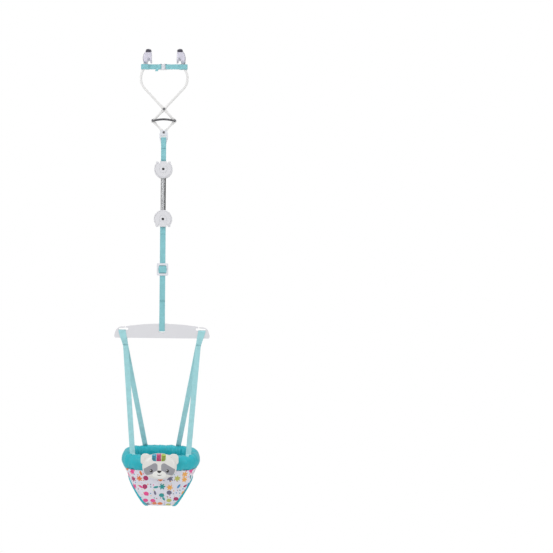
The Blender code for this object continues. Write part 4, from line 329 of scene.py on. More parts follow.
class Nodes:
    """A node tree whose nodes are added one by one."""

    def __init__(self, tree):
        self.tree = tree

    def node(self, kind, inputs, **settings):
        """New node; the inputs are outputs of other nodes or plain values, by the input that they feed."""
        made = self.tree.nodes.new("ShaderNode" + kind)
        for key, value in settings.items():
            setattr(made, key, value)
        self.feed(made, inputs)
        return made

    def feed(self, node, inputs):
        for key, value in inputs.items():
            if isinstance(value, bpy.types.NodeSocket):
                self.tree.links.new(value, node.inputs[key])
            else:
                node.inputs[key].default_value = value

    def maths(self, operation, *values):
        return self.node("Math", dict(enumerate(values)), operation=operation).outputs[0]

    def mix(self, share, first, second):
        ends = [(*value, 1) if isinstance(value, tuple) else value for value in (first, second)]
        return self.node("Mix", {0: share, 6: ends[0], 7: ends[1]}, data_type="RGBA").outputs[2]

    def coordinates(self, kind="Object"):
        return self.node("TexCoord", {}).outputs[kind]

    def parts(self, vector):
        """The X, Y and Z of a vector."""
        return self.node("SeparateXYZ", {0: vector}).outputs

    def noise(self, scale, detail):
        inputs = {"Scale": scale, "Detail": detail, "Vector": self.coordinates()}
        return self.node("TexNoise", inputs).outputs["Fac"]

    def seen(self):
        """1 for what the camera sees straight or through clear plastic, else 0."""
        rays = self.node("LightPath", {}).outputs
        return self.maths("MAXIMUM", rays["Is Camera Ray"], rays["Is Transmission Ray"])


class Shade(Nodes):
    """A Principled material."""

    def __init__(self, name, colour, roughness, metallic=0.0, coat=0.0, sheen=0.0):
        self.made = bpy.data.materials.new(name)
        self.made.use_nodes = True
        super().__init__(self.made.node_tree)
        self.shader = self.tree.nodes["Principled BSDF"]
        self.set({"Base Color": (*colour, 1), "Roughness": roughness, "Metallic": metallic,
                  "Coat Weight": coat, "Coat Roughness": 0.15, "Sheen Weight": sheen})
        self.made.diffuse_color = (*colour, 1)

    def set(self, inputs):
        self.feed(self.shader, inputs)

    def bump(self, height, distance, strength=1.0):
        inputs = {"Height": height, "Distance": distance, "Strength": strength}
        self.set({"Normal": self.node("Bump", inputs).outputs["Normal"]})

    def uneven(self, share, colour, shares):
        """Colour between two shades of the same colour."""
        return self.mix(share, *(tinted(colour, tint) for tint in shares))


def tinted(colour, share):
    return tuple(min(1.0, channel * share) for channel in colour)


def moulded(name, colour, roughness, coat=0.0, depth=GRAIN_DEPTH):
    """Moulded plastic or paint: faint unevenness and a very fine grain."""
    shade = Shade(name, colour, roughness, coat=coat)
    shade.bump(shade.noise(GRAIN_SCALE, 3.0), depth)
    return shade.made


def metal(name, colour, roughness):
    shade = Shade(name, colour, roughness, metallic=1.0)
    shade.bump(shade.noise(BRUSHED_SCALE, 2.0), METAL_GRAIN_DEPTH)
    return shade.made


def steel_with_painted_reflection(name, colour, roughness, painted_bands):
    """Steel whose wire is painted lighter and darker by the place across the coil: a painted highlight and
    a painted dark reflection.
    """
    shade = Shade(name, colour, roughness, metallic=1.0)
    place = shade.parts(shade.coordinates())["X"]
    tone = colour
    for edge, tint in painted_bands:
        tone = shade.mix(shade.maths("GREATER_THAN", place, edge), tone, tinted(colour, tint))
    shade.set({"Base Color": tone})
    return shade.made


def waves(shade, place, pitch):
    return shade.maths("SINE", shade.maths("MULTIPLY", place, 2 * pi / pitch))


def woven(name, colour):
    """Webbing: ribs across the strap and a finer thread along it."""
    shade = Shade(name, colour, 0.8, sheen=0.25)
    place = shade.parts(shade.coordinates("UV"))
    rib = waves(shade, place["Y"], RIB_PITCH)
    thread = waves(shade, place["X"], RIB_PITCH / 1.6)
    shade.bump(shade.maths("ADD", rib, shade.maths("MULTIPLY", thread, 0.45)), RIB_DEPTH, 0.8)
    # Colour: painted shade, darker in the ribs' troughs and lighter on their crests, over a random tone
    # from the noise
    share = shade.maths("MULTIPLY_ADD", rib, 0.22, shade.noise(WEAR_SCALE, 2.0))
    shade.set({"Base Color": shade.uneven(share, colour, (0.86, 1.12))})
    return shade.made


def creased(shade, colour, scale, weave, strength, shares):
    """Soft creases over a fine weave, and the colour with painted shade in their hollows, lighter on their
    rises.
    """
    crease = shade.noise(scale, 3.0)
    height = shade.maths("MULTIPLY_ADD", crease, 14.0, shade.noise(weave, 1.0))
    shade.bump(height, CLOTH_DEPTH, strength)
    return shade.uneven(crease, colour, shares)


def cloth(name, colour):
    shade = Shade(name, colour, 0.45, sheen=0.06)
    shade.set({"Base Color": creased(shade, colour, 42.0, 2600.0, 0.9, (0.88, 1.14))})
    return shade.made


def motifs(shade, vector, size, reach, petals, kept):
    """Mask and colour of one layer of printed motifs, one to a cell of that size."""
    maths = shade.maths
    cells = shade.node("TexVoronoi", {"Vector": vector, "Scale": 1 / size, "Randomness": 0.55},
                       voronoi_dimensions="2D", feature="F1").outputs
    apart = shade.node("VectorMath", {0: vector, 1: cells["Position"]}, operation="SUBTRACT").outputs[0]
    offset = shade.node("VectorMath", {0: apart, "Scale": 1 / size}, operation="SCALE").outputs[0]
    kind, pick, chance = shade.node("SeparateColor", {0: cells["Color"]}).outputs
    x, y, _ = shade.parts(offset)
    turn = maths("MULTIPLY", pick, 2 * pi)
    cosine = maths("COSINE", turn)
    sine = maths("SINE", turn)
    u = maths("MULTIPLY_ADD", x, cosine, maths("MULTIPLY", y, sine))
    v = maths("SUBTRACT", maths("MULTIPLY", y, cosine), maths("MULTIPLY", x, sine))
    # The first kind is a disc, the second a petalled star, the third a leaf
    flat = maths("MULTIPLY", maths("GREATER_THAN", kind, LEAF_SHARE), 1.2)
    stretched = maths("MULTIPLY", v, maths("ADD", flat, 1.0))
    radius = maths("SQRT", maths("MULTIPLY_ADD", u, u, maths("MULTIPLY", stretched, stretched)))
    starred = maths("MULTIPLY", maths("GREATER_THAN", kind, STAR_SHARE),
                    maths("LESS_THAN", kind, LEAF_SHARE))
    petal = maths("MULTIPLY", maths("COSINE", maths("MULTIPLY", maths("ARCTAN2", v, u), petals)), 0.30)
    edge = maths("MULTIPLY_ADD", maths("MULTIPLY", petal, starred), reach, reach)
    mask = maths("MULTIPLY", maths("LESS_THAN", radius, edge), maths("LESS_THAN", chance, kept))
    ramp = shade.node("ValToRGB", {0: maths("FRACT", maths("MULTIPLY", pick, 7.31))})
    ramp.color_ramp.interpolation = "CONSTANT"
    while len(ramp.color_ramp.elements) < len(PRINT_COLOURS):
        ramp.color_ramp.elements.new(0.5)
    for index, (stop, colour) in enumerate(zip(ramp.color_ramp.elements, PRINT_COLOURS)):
        stop.position = index / len(PRINT_COLOURS)
        stop.color = (*colour, 1)
    return mask, ramp.outputs[0]


def printed(name, ground):
    """Pale cloth with scattered discs, stars, leaves and dots."""
    shade = Shade(name, ground, 0.8, sheen=0.2)
    tone = creased(shade, ground, 36.0, 2400.0, 0.8, (0.94, 1.05))
    vector = shade.coordinates("UV")
    for size, reach, petals, kept in ((SMALL_MOTIF, 0.20, 5.0, 0.50), (LARGE_MOTIF, 0.34, 6.0, 0.90)):
        mask, colour = motifs(shade, vector, size, reach, petals, kept)
        tone = shade.mix(mask, tone, colour)
    shade.set({"Base Color": tone})
    return shade.made


def clear_vinyl(name, colour):
    shade = Shade(name, colour, 0.18, coat=0.4)
    shade.set({"Transmission Weight": 0.25, "IOR": 1.42})
    return shade.made


def lens(name, colour):
    """Tinted window with a grid of small raised facets."""
    shade = Shade(name, colour, 0.14, coat=0.6)
    place = shade.parts(shade.coordinates())
    dots = shade.maths("MULTIPLY", waves(shade, place["X"], FACET_PITCH),
                       waves(shade, place["Z"], FACET_PITCH))
    shade.bump(dots, FACET_DEPTH, 0.9)
    # Colour: painted highlight on the facets' tops and painted shade between them
    share = shade.maths("MULTIPLY_ADD", dots, 0.30, 0.5)
    shade.set({"Base Color": shade.uneven(share, colour, (0.62, 1.35)), "Transmission Weight": 0.15})
    return shade.made


LOOKS = (
    (moulded, "coated_steel", (0.80, 0.795, 0.79), 0.42, 0.0, COATED_GRAIN_DEPTH),
    (moulded, "white_plastic", (0.73, 0.75, 0.80), 0.38),
    (moulded, "housing_plastic", (0.72, 0.72, 0.75), 0.36),
    (clear_vinyl, "boot_vinyl", (0.80, 0.78, 0.90)),
    (moulded, "black_rubber", (0.055, 0.050, 0.075), 0.38),
    (metal, "zinc_steel", (0.50, 0.51, 0.52), 0.34),
    (metal, "polished_steel", (0.60, 0.61, 0.62), 0.27),
    (metal, "dark_steel", (0.17, 0.17, 0.18), 0.30),
    (moulded, "black_screw", (0.025, 0.025, 0.03), 0.3, 0.4),
    (woven, "turquoise_webbing", (0.26, 0.60, 0.65)),
    (woven, "pale_turquoise_webbing", (0.38, 0.72, 0.76)),
    (woven, "white_webbing", (0.74, 0.76, 0.77)),
    (cloth, "teal_fabric", (0.006, 0.44, 0.52)),
    (printed, "print_fabric", (0.74, 0.74, 0.82)),
    (moulded, "toy_plastic", (0.74, 0.73, 0.70), 0.36, 0.15),
    (lens, "blue_lens", (0.03, 0.42, 0.62)),
    (lens, "pink_lens", (0.66, 0.05, 0.24)),
    (lens, "lime_lens", (0.44, 0.60, 0.05)),
    (moulded, "circuit_board", (0.02, 0.20, 0.08), 0.4),
    (moulded, "dark_plastic", (0.10, 0.10, 0.11), 0.45),
)
FINISHES = {name: maker(name + "_look", *values) for maker, name, *values in LOOKS}
for cad_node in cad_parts.values():
    for slot in cad_node.material_slots:
        stem = slot.material.name.split(".")[0] if slot.material else ""
        slot.material = FINISHES.get(stem, slot.material)

# The clamp's rivets are darker than the other steel
RIVET_GREY = metal("rivet_look", (0.22, 0.22, 0.23), 0.35)
for name in ("pivot_rivet", "bracket_rivet", "link_rivet_left", "link_rivet_right"):
    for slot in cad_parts[name].material_slots:
        slot.material = RIVET_GREY

# Straps of the centre line
UPPER_STRAP_HALF_WIDTH = 0.0102
STRAP_SPREAD = 0.0051
STRAP_CLOSED = 0.0011
STRAP_PIN_RADIUS = 0.0030
STRAP_PIN_RISE = 0.0180
PIN_TURN = STRAP_PIN_RADIUS + GAP + WEBBING / 2
SHARP_BEND = 0.0012
SOFT_BEND = 0.0100
CORNER_BEND = 0.0040
STITCH_TOP_Z = -0.368
STITCH_BOTTOM_Z = -0.420
ADJUSTER_HALF_WIDTH = 0.0112
WINDOW_STRAP_HALF_WIDTH = 0.0158
WINDOW_REACH = 0.0175
WINDOW_BLEND = 0.0040
SPREADER_HALF_DEPTH = 0.010
ADJUSTER_SEWN_Z = -0.712
ADJUSTER_CORNERS = (
    (0.0037, -0.829, SOFT_BEND),
    (0.0037, -0.8385, SHARP_BEND),
    (-0.0046, -0.8450, SHARP_BEND),
    (-0.0046, -0.8620, SHARP_BEND),
    (-0.0030, -0.8668, 0),
)
BAND_CORNERS = (
    (-0.0026, -0.8479, SHARP_BEND), (-0.0026, -0.8600, SHARP_BEND),
    (0.0037, -0.8690, SHARP_BEND), (0.0037, -0.8800, CORNER_BEND),
    (-0.0011, -0.9050, SOFT_BEND), (-0.0011, -1.0300, SOFT_BEND),
    (-0.0111, -1.0680, CORNER_BEND), (-0.0111, -1.1016, SHARP_BEND),
    (0.0111, -1.1016, SHARP_BEND), (0.0111, -1.0680, CORNER_BEND),
    (0.0011, -1.0300, SOFT_BEND), (0.0011, -0.9050, SOFT_BEND),
    (0.0059, -0.8800, CORNER_BEND), (0.0059, -0.8650, SHARP_BEND),
    (0.0026, -0.8600, SHARP_BEND), (0.0026, -0.8479, SHARP_BEND),
)
ADJUSTER_ENDS = ((0, 0, -0.716), (0, 0, -0.826))
BAND_ENDS = ((0, 0, -0.882), (0, 0, -1.060))
BOUNCE_ENDS = ((0, 0, -0.482), (0, 0, -0.624))

# Rows of close stitches across the straps
STITCH_PITCH = 0.0010
STITCH_HALF_HEIGHT = 0.0027
STITCH_MARGIN = 0.0010
THREAD_RADIUS = 0.00035
THREAD = moulded("thread_look", (0.02, 0.20, 0.24), 0.7)
UPPER_STITCHES_Z = (-0.3690, -0.4170)
BAND_STITCHES_Z = -0.9810


def upper_strap_path():
    top = BAR_Z + GAP + WEBBING / 2
    pin = UPPER_HOUSING_Z + STRAP_PIN_RISE
    return rounded(mirrored([
        (-STRAP_SPREAD, top, SHARP_BEND),
        (-STRAP_SPREAD, BRACKET_FOOT_Z, SOFT_BEND),
        (-STRAP_CLOSED, STITCH_TOP_Z, SOFT_BEND),
        (-STRAP_CLOSED, STITCH_BOTTOM_Z, CORNER_BEND),
        (-PIN_TURN, pin + PIN_TURN, STRAP_PIN_RADIUS),
        (-PIN_TURN, pin - PIN_TURN, CORNER_BEND - GAP),
    ]))


def adjuster_upper_path():
    pin = LOWER_HOUSING_Z - STRAP_PIN_RISE
    return rounded([
        (-STRAP_CLOSED, ADJUSTER_SEWN_Z, 0),
        (-STRAP_CLOSED, pin - 2 * PIN_TURN, CORNER_BEND),
        (-PIN_TURN, pin - PIN_TURN, STRAP_PIN_RADIUS),
        (-PIN_TURN, pin + PIN_TURN, CORNER_BEND - GAP),
        (PIN_TURN, pin + PIN_TURN, CORNER_BEND - GAP),
        (PIN_TURN, pin - PIN_TURN, STRAP_PIN_RADIUS),
        (STRAP_CLOSED, pin - 2 * PIN_TURN, CORNER_BEND),
        (STRAP_CLOSED, ADJUSTER_SEWN_Z, SOFT_BEND),
        *ADJUSTER_CORNERS,
    ], closed=False)


def adjuster_half_width(z):
    """The webbing is bunched and spreads over the whole width of the slider's window."""
    share = smooth((WINDOW_REACH - abs(z - SLIDER_Z)) / WINDOW_BLEND)
    return ADJUSTER_HALF_WIDTH + (WINDOW_STRAP_HALF_WIDTH - ADJUSTER_HALF_WIDTH) * share


def stitch_row(name, webbing, z, bodies, ends=None):
    """Zigzag of thread on the front of the webbing at that height."""
    near = [vertex.co for vertex in webbing.data.vertices if abs(vertex.co.z - z) < STRAP_STEP]
    low = min(place.x for place in near) + STITCH_MARGIN
    high = max(place.x for place in near) - STITCH_MARGIN
    front = min(place.y for place in near)
    count = ceil((high - low) / STITCH_PITCH)
    points = [(low + (high - low) * k / count, front, z + STITCH_HALF_HEIGHT * (-1) ** k)
              for k in range(count + 1)]
    fitted(tube(name, points, THREAD_RADIUS, THREAD, sides=6), bodies, ends=ends)


upper_strap = flat_strap("upper_strap_webbing", upper_strap_path(), lambda z: UPPER_STRAP_HALF_WIDTH,
                         "turquoise_webbing")
fitted(upper_strap, "upper_unit", "upper_strap")
adjuster_upper = flat_strap("adjuster_upper_webbing", adjuster_upper_path(), adjuster_half_width,
                            "turquoise_webbing", closed=False)
fitted(adjuster_upper, ("lower_unit", "slider"), "adjuster_strap_upper", ADJUSTER_ENDS)
adjuster_lower = flat_strap("adjuster_lower_webbing", rounded(BAND_CORNERS), adjuster_half_width,
                            "turquoise_webbing")
fitted(adjuster_lower, ("slider", "strap_loop"), "adjuster_strap_lower", BAND_ENDS)
for number, z in enumerate(UPPER_STITCHES_Z, 1):
    stitch_row("upper_strap_stitches_%d" % number, upper_strap, z, "upper_unit")
stitch_row("adjuster_stitches", adjuster_lower, BAND_STITCHES_Z, ("slider", "strap_loop"), BAND_ENDS)

# Main spring: close-wound, with a half loop over each anchor pin
SPRING_MIDDLE_Z = -0.553
COIL_RADIUS = 0.0088
WIRE_RADIUS = 0.0022
COIL_HALF_LENGTH = 0.0728
COIL_TURNS = 32
TURN_POINTS = 24
ANCHOR_RADIUS = 0.0025
ANCHOR_DROP = 0.0174
# Painted light on the spring's wire across the coil: where a painted highlight starts in x and how much
# lighter, then where a painted dark reflection starts and how much darker
SPRING_PAINTED_LIGHT_BANDS = ((0.0002, 1.35), (0.0046, 0.24))


def main_spring_points():
    count = COIL_TURNS * TURN_POINTS
    steps = TURN_POINTS // 2
    points = []
    for k in range(count + 1):
        turn = 2 * pi * k / TURN_POINTS
        points.append((COIL_RADIUS * cos(turn), COIL_RADIUS * sin(turn),
                       SPRING_MIDDLE_Z + COIL_HALF_LENGTH * (1 - 2 * k / count)))
    hooks = {}
    for side, housing in ((1, UPPER_HOUSING_Z), (-1, LOWER_HOUSING_Z)):
        arc_z = housing - side * ANCHOR_DROP + side * (ANCHOR_RADIUS + GAP + WIRE_RADIUS - COIL_RADIUS)
        hooks[side] = []
        for k in range(steps + 1):
            turn = pi * k / steps
            hooks[side].append((COIL_RADIUS * cos(turn), 0, arc_z + side * COIL_RADIUS * sin(turn)))
    return hooks[1][::-1] + points + hooks[-1]


# Wire with a painted highlight just right of the coil's middle and a painted dark reflection at its right
# side
SPRING_PAINTED_REFLECTION_STEEL = steel_with_painted_reflection("spring_steel_look", (0.60, 0.61, 0.62), 0.27, SPRING_PAINTED_LIGHT_BANDS)
main_spring = tube("main_spring_wire", main_spring_points(), WIRE_RADIUS, SPRING_PAINTED_REFLECTION_STEEL, sides=12)
fitted(main_spring, ("upper_unit", "lower_unit"), "main_spring", BOUNCE_ENDS)

CORD_RADIUS = 0.0012
CORD_LAYER = 0.0040
CORD_CORNERS = (
    (-0.0040, -0.4664, 0.0039), (-0.0040, -0.4724, 0.0040), (-0.0020, -0.4844, 0.0040),
    (-0.0020, -0.6216, 0.0040), (-0.0040, -0.6336, 0.0040), (-0.0040, -0.6396, 0.0039),
)
cord_line = resampled([(a, CORD_LAYER, b) for a, b in rounded(mirrored(CORD_CORNERS))], STRAP_STEP, True)
safety_cord = tube("safety_cord_loop", cord_line, CORD_RADIUS, "white_webbing", sides=8, closed=True)
fitted(safety_cord, ("upper_unit", "lower_unit"), "safety_cord", BOUNCE_ENDS)

# Clamp spring, in two halves that each run from the middle to a hook round one knee
CLAMP_SPRING_LAYER = -0.01145
CLAMP_COIL_RADIUS = 0.0034
CLAMP_WIRE_RADIUS = 0.0011
CLAMP_HALF_LENGTH = 0.0370
CLAMP_TURNS = 30
CLAMP_TURN_POINTS = 16
CLAMP_BOW = 0.0045
CLAMP_HOOK_RADIUS = 0.0040
CLAMP_HOOK_STEP = pi / 8


def clamp_spring_half(side):
    count = CLAMP_TURNS // 2 * CLAMP_TURN_POINTS
    points = []
    for k in range(count + 1):
        share = k / count
        turn = 2 * pi * k / CLAMP_TURN_POINTS
        points.append((side * share * CLAMP_HALF_LENGTH, CLAMP_SPRING_LAYER - CLAMP_COIL_RADIUS * cos(turn),
                       KNEE_Z + CLAMP_BOW * (1 - share ** 2) + side * CLAMP_COIL_RADIUS * sin(turn)))
    for k in range(-2, 10):
        angle = CLAMP_HOOK_STEP * k
        points.append((side * (KNEE_X + CLAMP_HOOK_RADIUS * sin(angle)), CLAMP_SPRING_LAYER,
                       KNEE_Z + CLAMP_HOOK_RADIUS * cos(angle)))
    return points


for word, side, arm in (("right", 1, "left_arm"), ("left", -1, "right_arm")):
    wire = tube("clamp_spring_" + word, clamp_spring_half(side), CLAMP_WIRE_RADIUS, "dark_steel", sides=8)
    ends = ((0, 0, KNEE_Z), (side * KNEE_X, 0, KNEE_Z))
    fitted(wire, ("clamp_frame", arm), "clamp_spring", ends)

# Clamp arms: round rods with wide bends, pressed flat where an eye holds a rivet
ARM_LAYER = 0.00265
PIVOT_Z = -0.212
ARM_CORNERS = (
    (0.0716, -0.0295, 0),
    (0.0915, -0.0680, 0.060),
    (0.0955, -0.1100, 0.055),
    (-KNEE_X, KNEE_Z, 0),
)
ARM_STEP = 0.0015
ARM_SIDES = 16
ROD_HALF_WIDTH = 0.0047
ROD_HALF_DEPTH = 0.00425
FLAT_HALF_WIDTH = 0.0062
FLAT_HALF_DEPTH = 0.0023
FLAT_REACH = 0.020
EYE_HALF_DEPTH = 0.0025
EYE_HOLE_RADIUS = 0.0034
EYE_EDGE = 0.0006
EYE_SIDES = 32
PLATE_HALF_DEPTH = 0.020
PLATE_TAIL_HALF_DEPTH = 0.0040
PLATE_TOP_Z = 0.0225
PLATE_NECK_Z = (-0.0080, -0.0220)
PLATE_FOOT_Z = -0.0370
PLATE_SPAN = (0.0675, 0.0705)
PIVOT_EYE_RADIUS = 0.0085
KNEE_EYE_RADIUS = 0.0072


def arm_rod(name, line, flats, layer, side):
    """Rod through the line's points, flat and wide near each of the flats."""
    rings = []
    for point, run in zip(line, runs(line)):
        across = Vector((-run.y, run.x))
        share = max(smooth(2 - 2 * (point - flat).length / FLAT_REACH) for flat in flats)
        wide = ROD_HALF_WIDTH + (FLAT_HALF_WIDTH - ROD_HALF_WIDTH) * share
        deep = ROD_HALF_DEPTH + (FLAT_HALF_DEPTH - ROD_HALF_DEPTH) * share
        ring = []
        for angle in circle(ARM_SIDES):
            place = point + across * wide * cos(angle)
            ring.append((side * place.x, layer + deep * sin(angle), place.y))
        rings.append(ring)
    return lofted(name, rings, "coated_steel", caps=True)


def arm_eye(name, centre, radius, layer, side):
    """Flat ring round a rivet, its outer edges eased."""
    half = [(EYE_HOLE_RADIUS, EYE_HALF_DEPTH), (radius - EYE_EDGE, EYE_HALF_DEPTH),
            (radius, EYE_HALF_DEPTH - EYE_EDGE)]
    profile = [(reach, -deep) for reach, deep in half] + half[::-1]
    rings = []
    for angle in circle(EYE_SIDES):
        rings.append([(side * centre.x + reach * cos(angle), layer + deep, centre.y + reach * sin(angle))
                      for reach, deep in profile])
    return lofted(name, rings, "coated_steel", along=True)


def arm_plate(name, layer, side):
    """Plate in the boot, wide at its top, its tail in the rod's layer."""
    plate = []
    for facing, order in ((1, 1), (-1, -1)):
        outline = [
            (facing * PLATE_HALF_DEPTH, PLATE_TOP_Z),
            (facing * PLATE_HALF_DEPTH, PLATE_NECK_Z[0]),
            (layer + facing * PLATE_TAIL_HALF_DEPTH, PLATE_NECK_Z[1]),
            (layer + facing * PLATE_TAIL_HALF_DEPTH, PLATE_FOOT_Z),
        ]
        plate += outline[::order]
    span = sorted(side * a for a in PLATE_SPAN)
    return from_bmesh(name, prism(plate, *span, across_x=True), "coated_steel")


for word, side in (("left", -1), ("right", 1)):
    layer = side * ARM_LAYER
    pivot = Vector((0, PIVOT_Z))
    knee = Vector((-KNEE_X, KNEE_Z))
    line = resampled(rounded(ARM_CORNERS, closed=False), ARM_STEP)
    line = [place for place in line if min((place - pivot).length, (place - knee).length) > EYE_HOLE_RADIUS]
    above = [place for place in line if place.y > PIVOT_Z]
    below = [place for place in line if place.y < PIVOT_Z]
    for piece in (
        arm_rod("arm_rod_" + word, above, (pivot,), layer, side),
        arm_rod("arm_lower_rod_" + word, below, (pivot, knee), layer, side),
        arm_eye("arm_eye_" + word, pivot, PIVOT_EYE_RADIUS, layer, side),
        arm_eye("arm_knee_eye_" + word, knee, KNEE_EYE_RADIUS, layer, side),
        arm_plate("arm_plate_" + word, layer, side),
    ):
        fitted(piece, word + "_arm", "clamp_arm_" + word)

# Clamp boots and their caps: soft mouldings, rounded towards the front and the back
PAD_HALF_DEPTH = 0.028
PAD_ROUNDING = 0.014
PAD_SHRINK_SHARE = 0.25
PAD_MIDDLE = Vector((0.0660, -0.0050))
PAD_STEPS = 12
BOOT_TOP_Z = 0.0138
BOOT_CORNERS = (
    (0.0505, BOOT_TOP_Z, 0.0012), (0.0497, -0.0080, 0.0040), (0.0493, -0.0240, 0.0014),
    (0.0530, -0.0245, 0.0010), (0.0560, -0.0150, 0.0030), (0.0625, -0.0120, 0.0030),
    (0.0672, -0.0190, 0.0040), (0.0665, -0.0280, 0.0020), (0.0830, -0.0280, 0.0020),
    (0.0855, -0.0105, 0.0100), (0.0805, 0.0057, 0.0100), (0.0762, BOOT_TOP_Z, 0.0012),
)
CAP_CORNERS = (
    (0.0512, BOOT_TOP_Z + GAP, 0.0010), (0.0512, 0.0222, 0.0055), (0.0610, 0.0262, 0.0120),
    (0.0718, 0.0252, 0.0070), (0.0757, BOOT_TOP_Z + GAP, 0.0010),
)
# Dark lines on each face along the boot's outer edge: painted shade where the clear vinyl's rounded edge
# looks dark
EDGE_SHADE_RADIUS = 0.0011
EDGE_SHADE_LAYER_SHARE = 0.75
EDGE_SHADE_CORNERS = (
    (0.0762, 0.0120, 0), (0.0805, 0.0052, 0.0100), (0.0852, -0.0105, 0.0100), (0.0836, -0.0255, 0),
)
EDGE_SHADE_GREY = moulded("boot_bead_look", (0.17, 0.16, 0.20), 0.4)


def pad_outline(line, side, y):
    """The line at that depth, where the moulding is smaller towards its front and back."""
    into = min(1, max(0, (abs(y) - PAD_HALF_DEPTH + PAD_ROUNDING) / PAD_ROUNDING))
    size = 1 - PAD_SHRINK_SHARE * (1 - sqrt(1 - into ** 2))
    places = [PAD_MIDDLE + (place - PAD_MIDDLE) * size for place in line]
    return [(side * place.x, y, place.y) for place in places]


def pad(name, corners, side, finish):
    outline = rounded(corners)
    depths = [PAD_HALF_DEPTH * sin(pi / 2 * k / PAD_STEPS) for k in range(-PAD_STEPS, PAD_STEPS + 1)]
    return lofted(name, [pad_outline(outline, side, y) for y in depths], finish, caps=True)


for word, side in (("left", -1), ("right", 1)):
    body = word + "_arm"
    for start, node, corners, slot in (("boot_", "jaw_boot_", BOOT_CORNERS, "boot_vinyl"),
                                       ("boot_cap_", "jaw_cap_", CAP_CORNERS, "black_rubber")):
        fitted(pad(start + word, corners, side, slot), body, node + word)
    # Painted edge shade: a dark line on each face of the boot
    for facing in (-1, 1):
        y = facing * PAD_HALF_DEPTH * EDGE_SHADE_LAYER_SHARE
        line = pad_outline(rounded(EDGE_SHADE_CORNERS, closed=False), side, y)
        edge_shade_line = tube("boot_bead_%s_%d" % (word, facing), line, EDGE_SHADE_RADIUS, EDGE_SHADE_GREY, sides=8)
        fitted(edge_shade_line, body)

# Safety straps: a loop from each half of the buckle round its arm, and a second turn round the arm
SAFETY_MIDDLE_Z = -0.0420
SAFETY_HALF_WIDTH = 0.0100
SAFETY_LOOP_INNER_X = 0.0650
SAFETY_LOOP_OUTER_X = 0.0905
SAFETY_LOOP_HALF_DEPTH = 0.0057
SAFETY_BEND_X = (-0.020, -0.060)
SAFETY_PLUG_X = 0.012
SAFETY_SPLIT_X = 0.0400
SAFETY_ARM_X = 0.060
WRAP_OVERHANG = 0.0022
WRAP_INNER_X = 0.0615
WRAP_SLANT = 0.0016
BUCKLE_PIN_RADIUS = 0.0013
BUCKLE_PINS_X = {-1: -0.0145, 1: 0.0075}
WRINKLE = 0.0009
WRINKLE_SCALE_X = 150.0
WRINKLE_SCALE_Y = 40.0
WRINKLE_SLANT_SCALE = 900
TAIL_X = -0.0270
TAIL_SLANT = 0.0040
TAIL_LAYER = -0.0030
TAIL_TOP_Z = -0.0480
TAIL_BOTTOM_Z = -0.0600
TAIL_HALF_WIDTH = 0.0058
TAIL_STEPS = 6


def upright_frames(line, side, slant=0.0, closed=True):
    """Frames of a safety strap, which stands on edge, from its (x, y) points, with small wrinkles."""
    frames = []
    for point, run in zip(line, runs(line, closed)):
        ripple = noise.noise(Vector((point.x * WRINKLE_SCALE_X, point.y * WRINKLE_SCALE_Y,
                                     side * 3.0 + slant * WRINKLE_SLANT_SCALE)))
        lift = slant * copysign(1, point.y) + WRINKLE * ripple
        frames.append((Vector((side * point.x, point.y, SAFETY_MIDDLE_Z + lift)),
                       Vector((0, 0.16 * ripple, 1)).normalized(), Vector((-run.y * side, run.x, 0)),
                       SAFETY_HALF_WIDTH * (1 - 0.07 * abs(ripple))))
    return frames


def safety_strap_path(side):
    layer = side * ARM_LAYER
    reach = BUCKLE_PIN_RADIUS + GAP + WEBBING / 2
    deep = SAFETY_LOOP_HALF_DEPTH
    near = side * BUCKLE_PINS_X[side] - reach
    start = near + 4 * reach
    return rounded([
        (near, -reach, reach * 0.98),
        (start, -reach, reach),
        (start + 2 * reach, -STRAP_CLOSED, reach),
        (SAFETY_LOOP_INNER_X - deep, -STRAP_CLOSED, deep),
        (SAFETY_LOOP_INNER_X, layer - deep, deep / 2),
        (SAFETY_LOOP_OUTER_X, layer - deep, deep * 0.9),
        (SAFETY_LOOP_OUTER_X, layer + deep, deep * 0.9),
        (SAFETY_LOOP_INNER_X, layer + deep, deep / 2),
        (SAFETY_LOOP_INNER_X - deep, STRAP_CLOSED, deep),
        (start + 2 * reach, STRAP_CLOSED, reach),
        (start, reach, reach),
        (near, reach, reach * 0.98),
    ])


def wrap_path(side):
    layer = side * ARM_LAYER
    deep = SAFETY_LOOP_HALF_DEPTH + WRAP_OVERHANG
    outer = SAFETY_LOOP_OUTER_X + WRAP_OVERHANG
    return rounded([(WRAP_INNER_X, layer - deep, deep * 0.9), (outer, layer - deep, deep * 0.95),
                    (outer, layer + deep, deep * 0.95), (WRAP_INNER_X, layer + deep, deep * 0.9)])


def safety_ends(start_x, end_x):
    return ((start_x, 0, SAFETY_MIDDLE_Z), (end_x, 0, SAFETY_MIDDLE_Z))


def safety_piece(name, line, side, bodies, ends_x, node, closed=True):
    """Strap piece along the line, given the two bodies and places it lies between; it is built in place and
    does not bend.
    """
    piece = strap(name, upright_frames(line, side, closed=closed), "turquoise_webbing", closed)
    fitted(piece, bodies, node, safety_ends(*ends_x))


left_line = resampled(safety_strap_path(-1), STRAP_STEP / 2, closed=True)
safety_piece("safety_webbing_left", left_line, -1, ("clamp_frame", "left_arm"), SAFETY_BEND_X,
             "safety_strap_left")

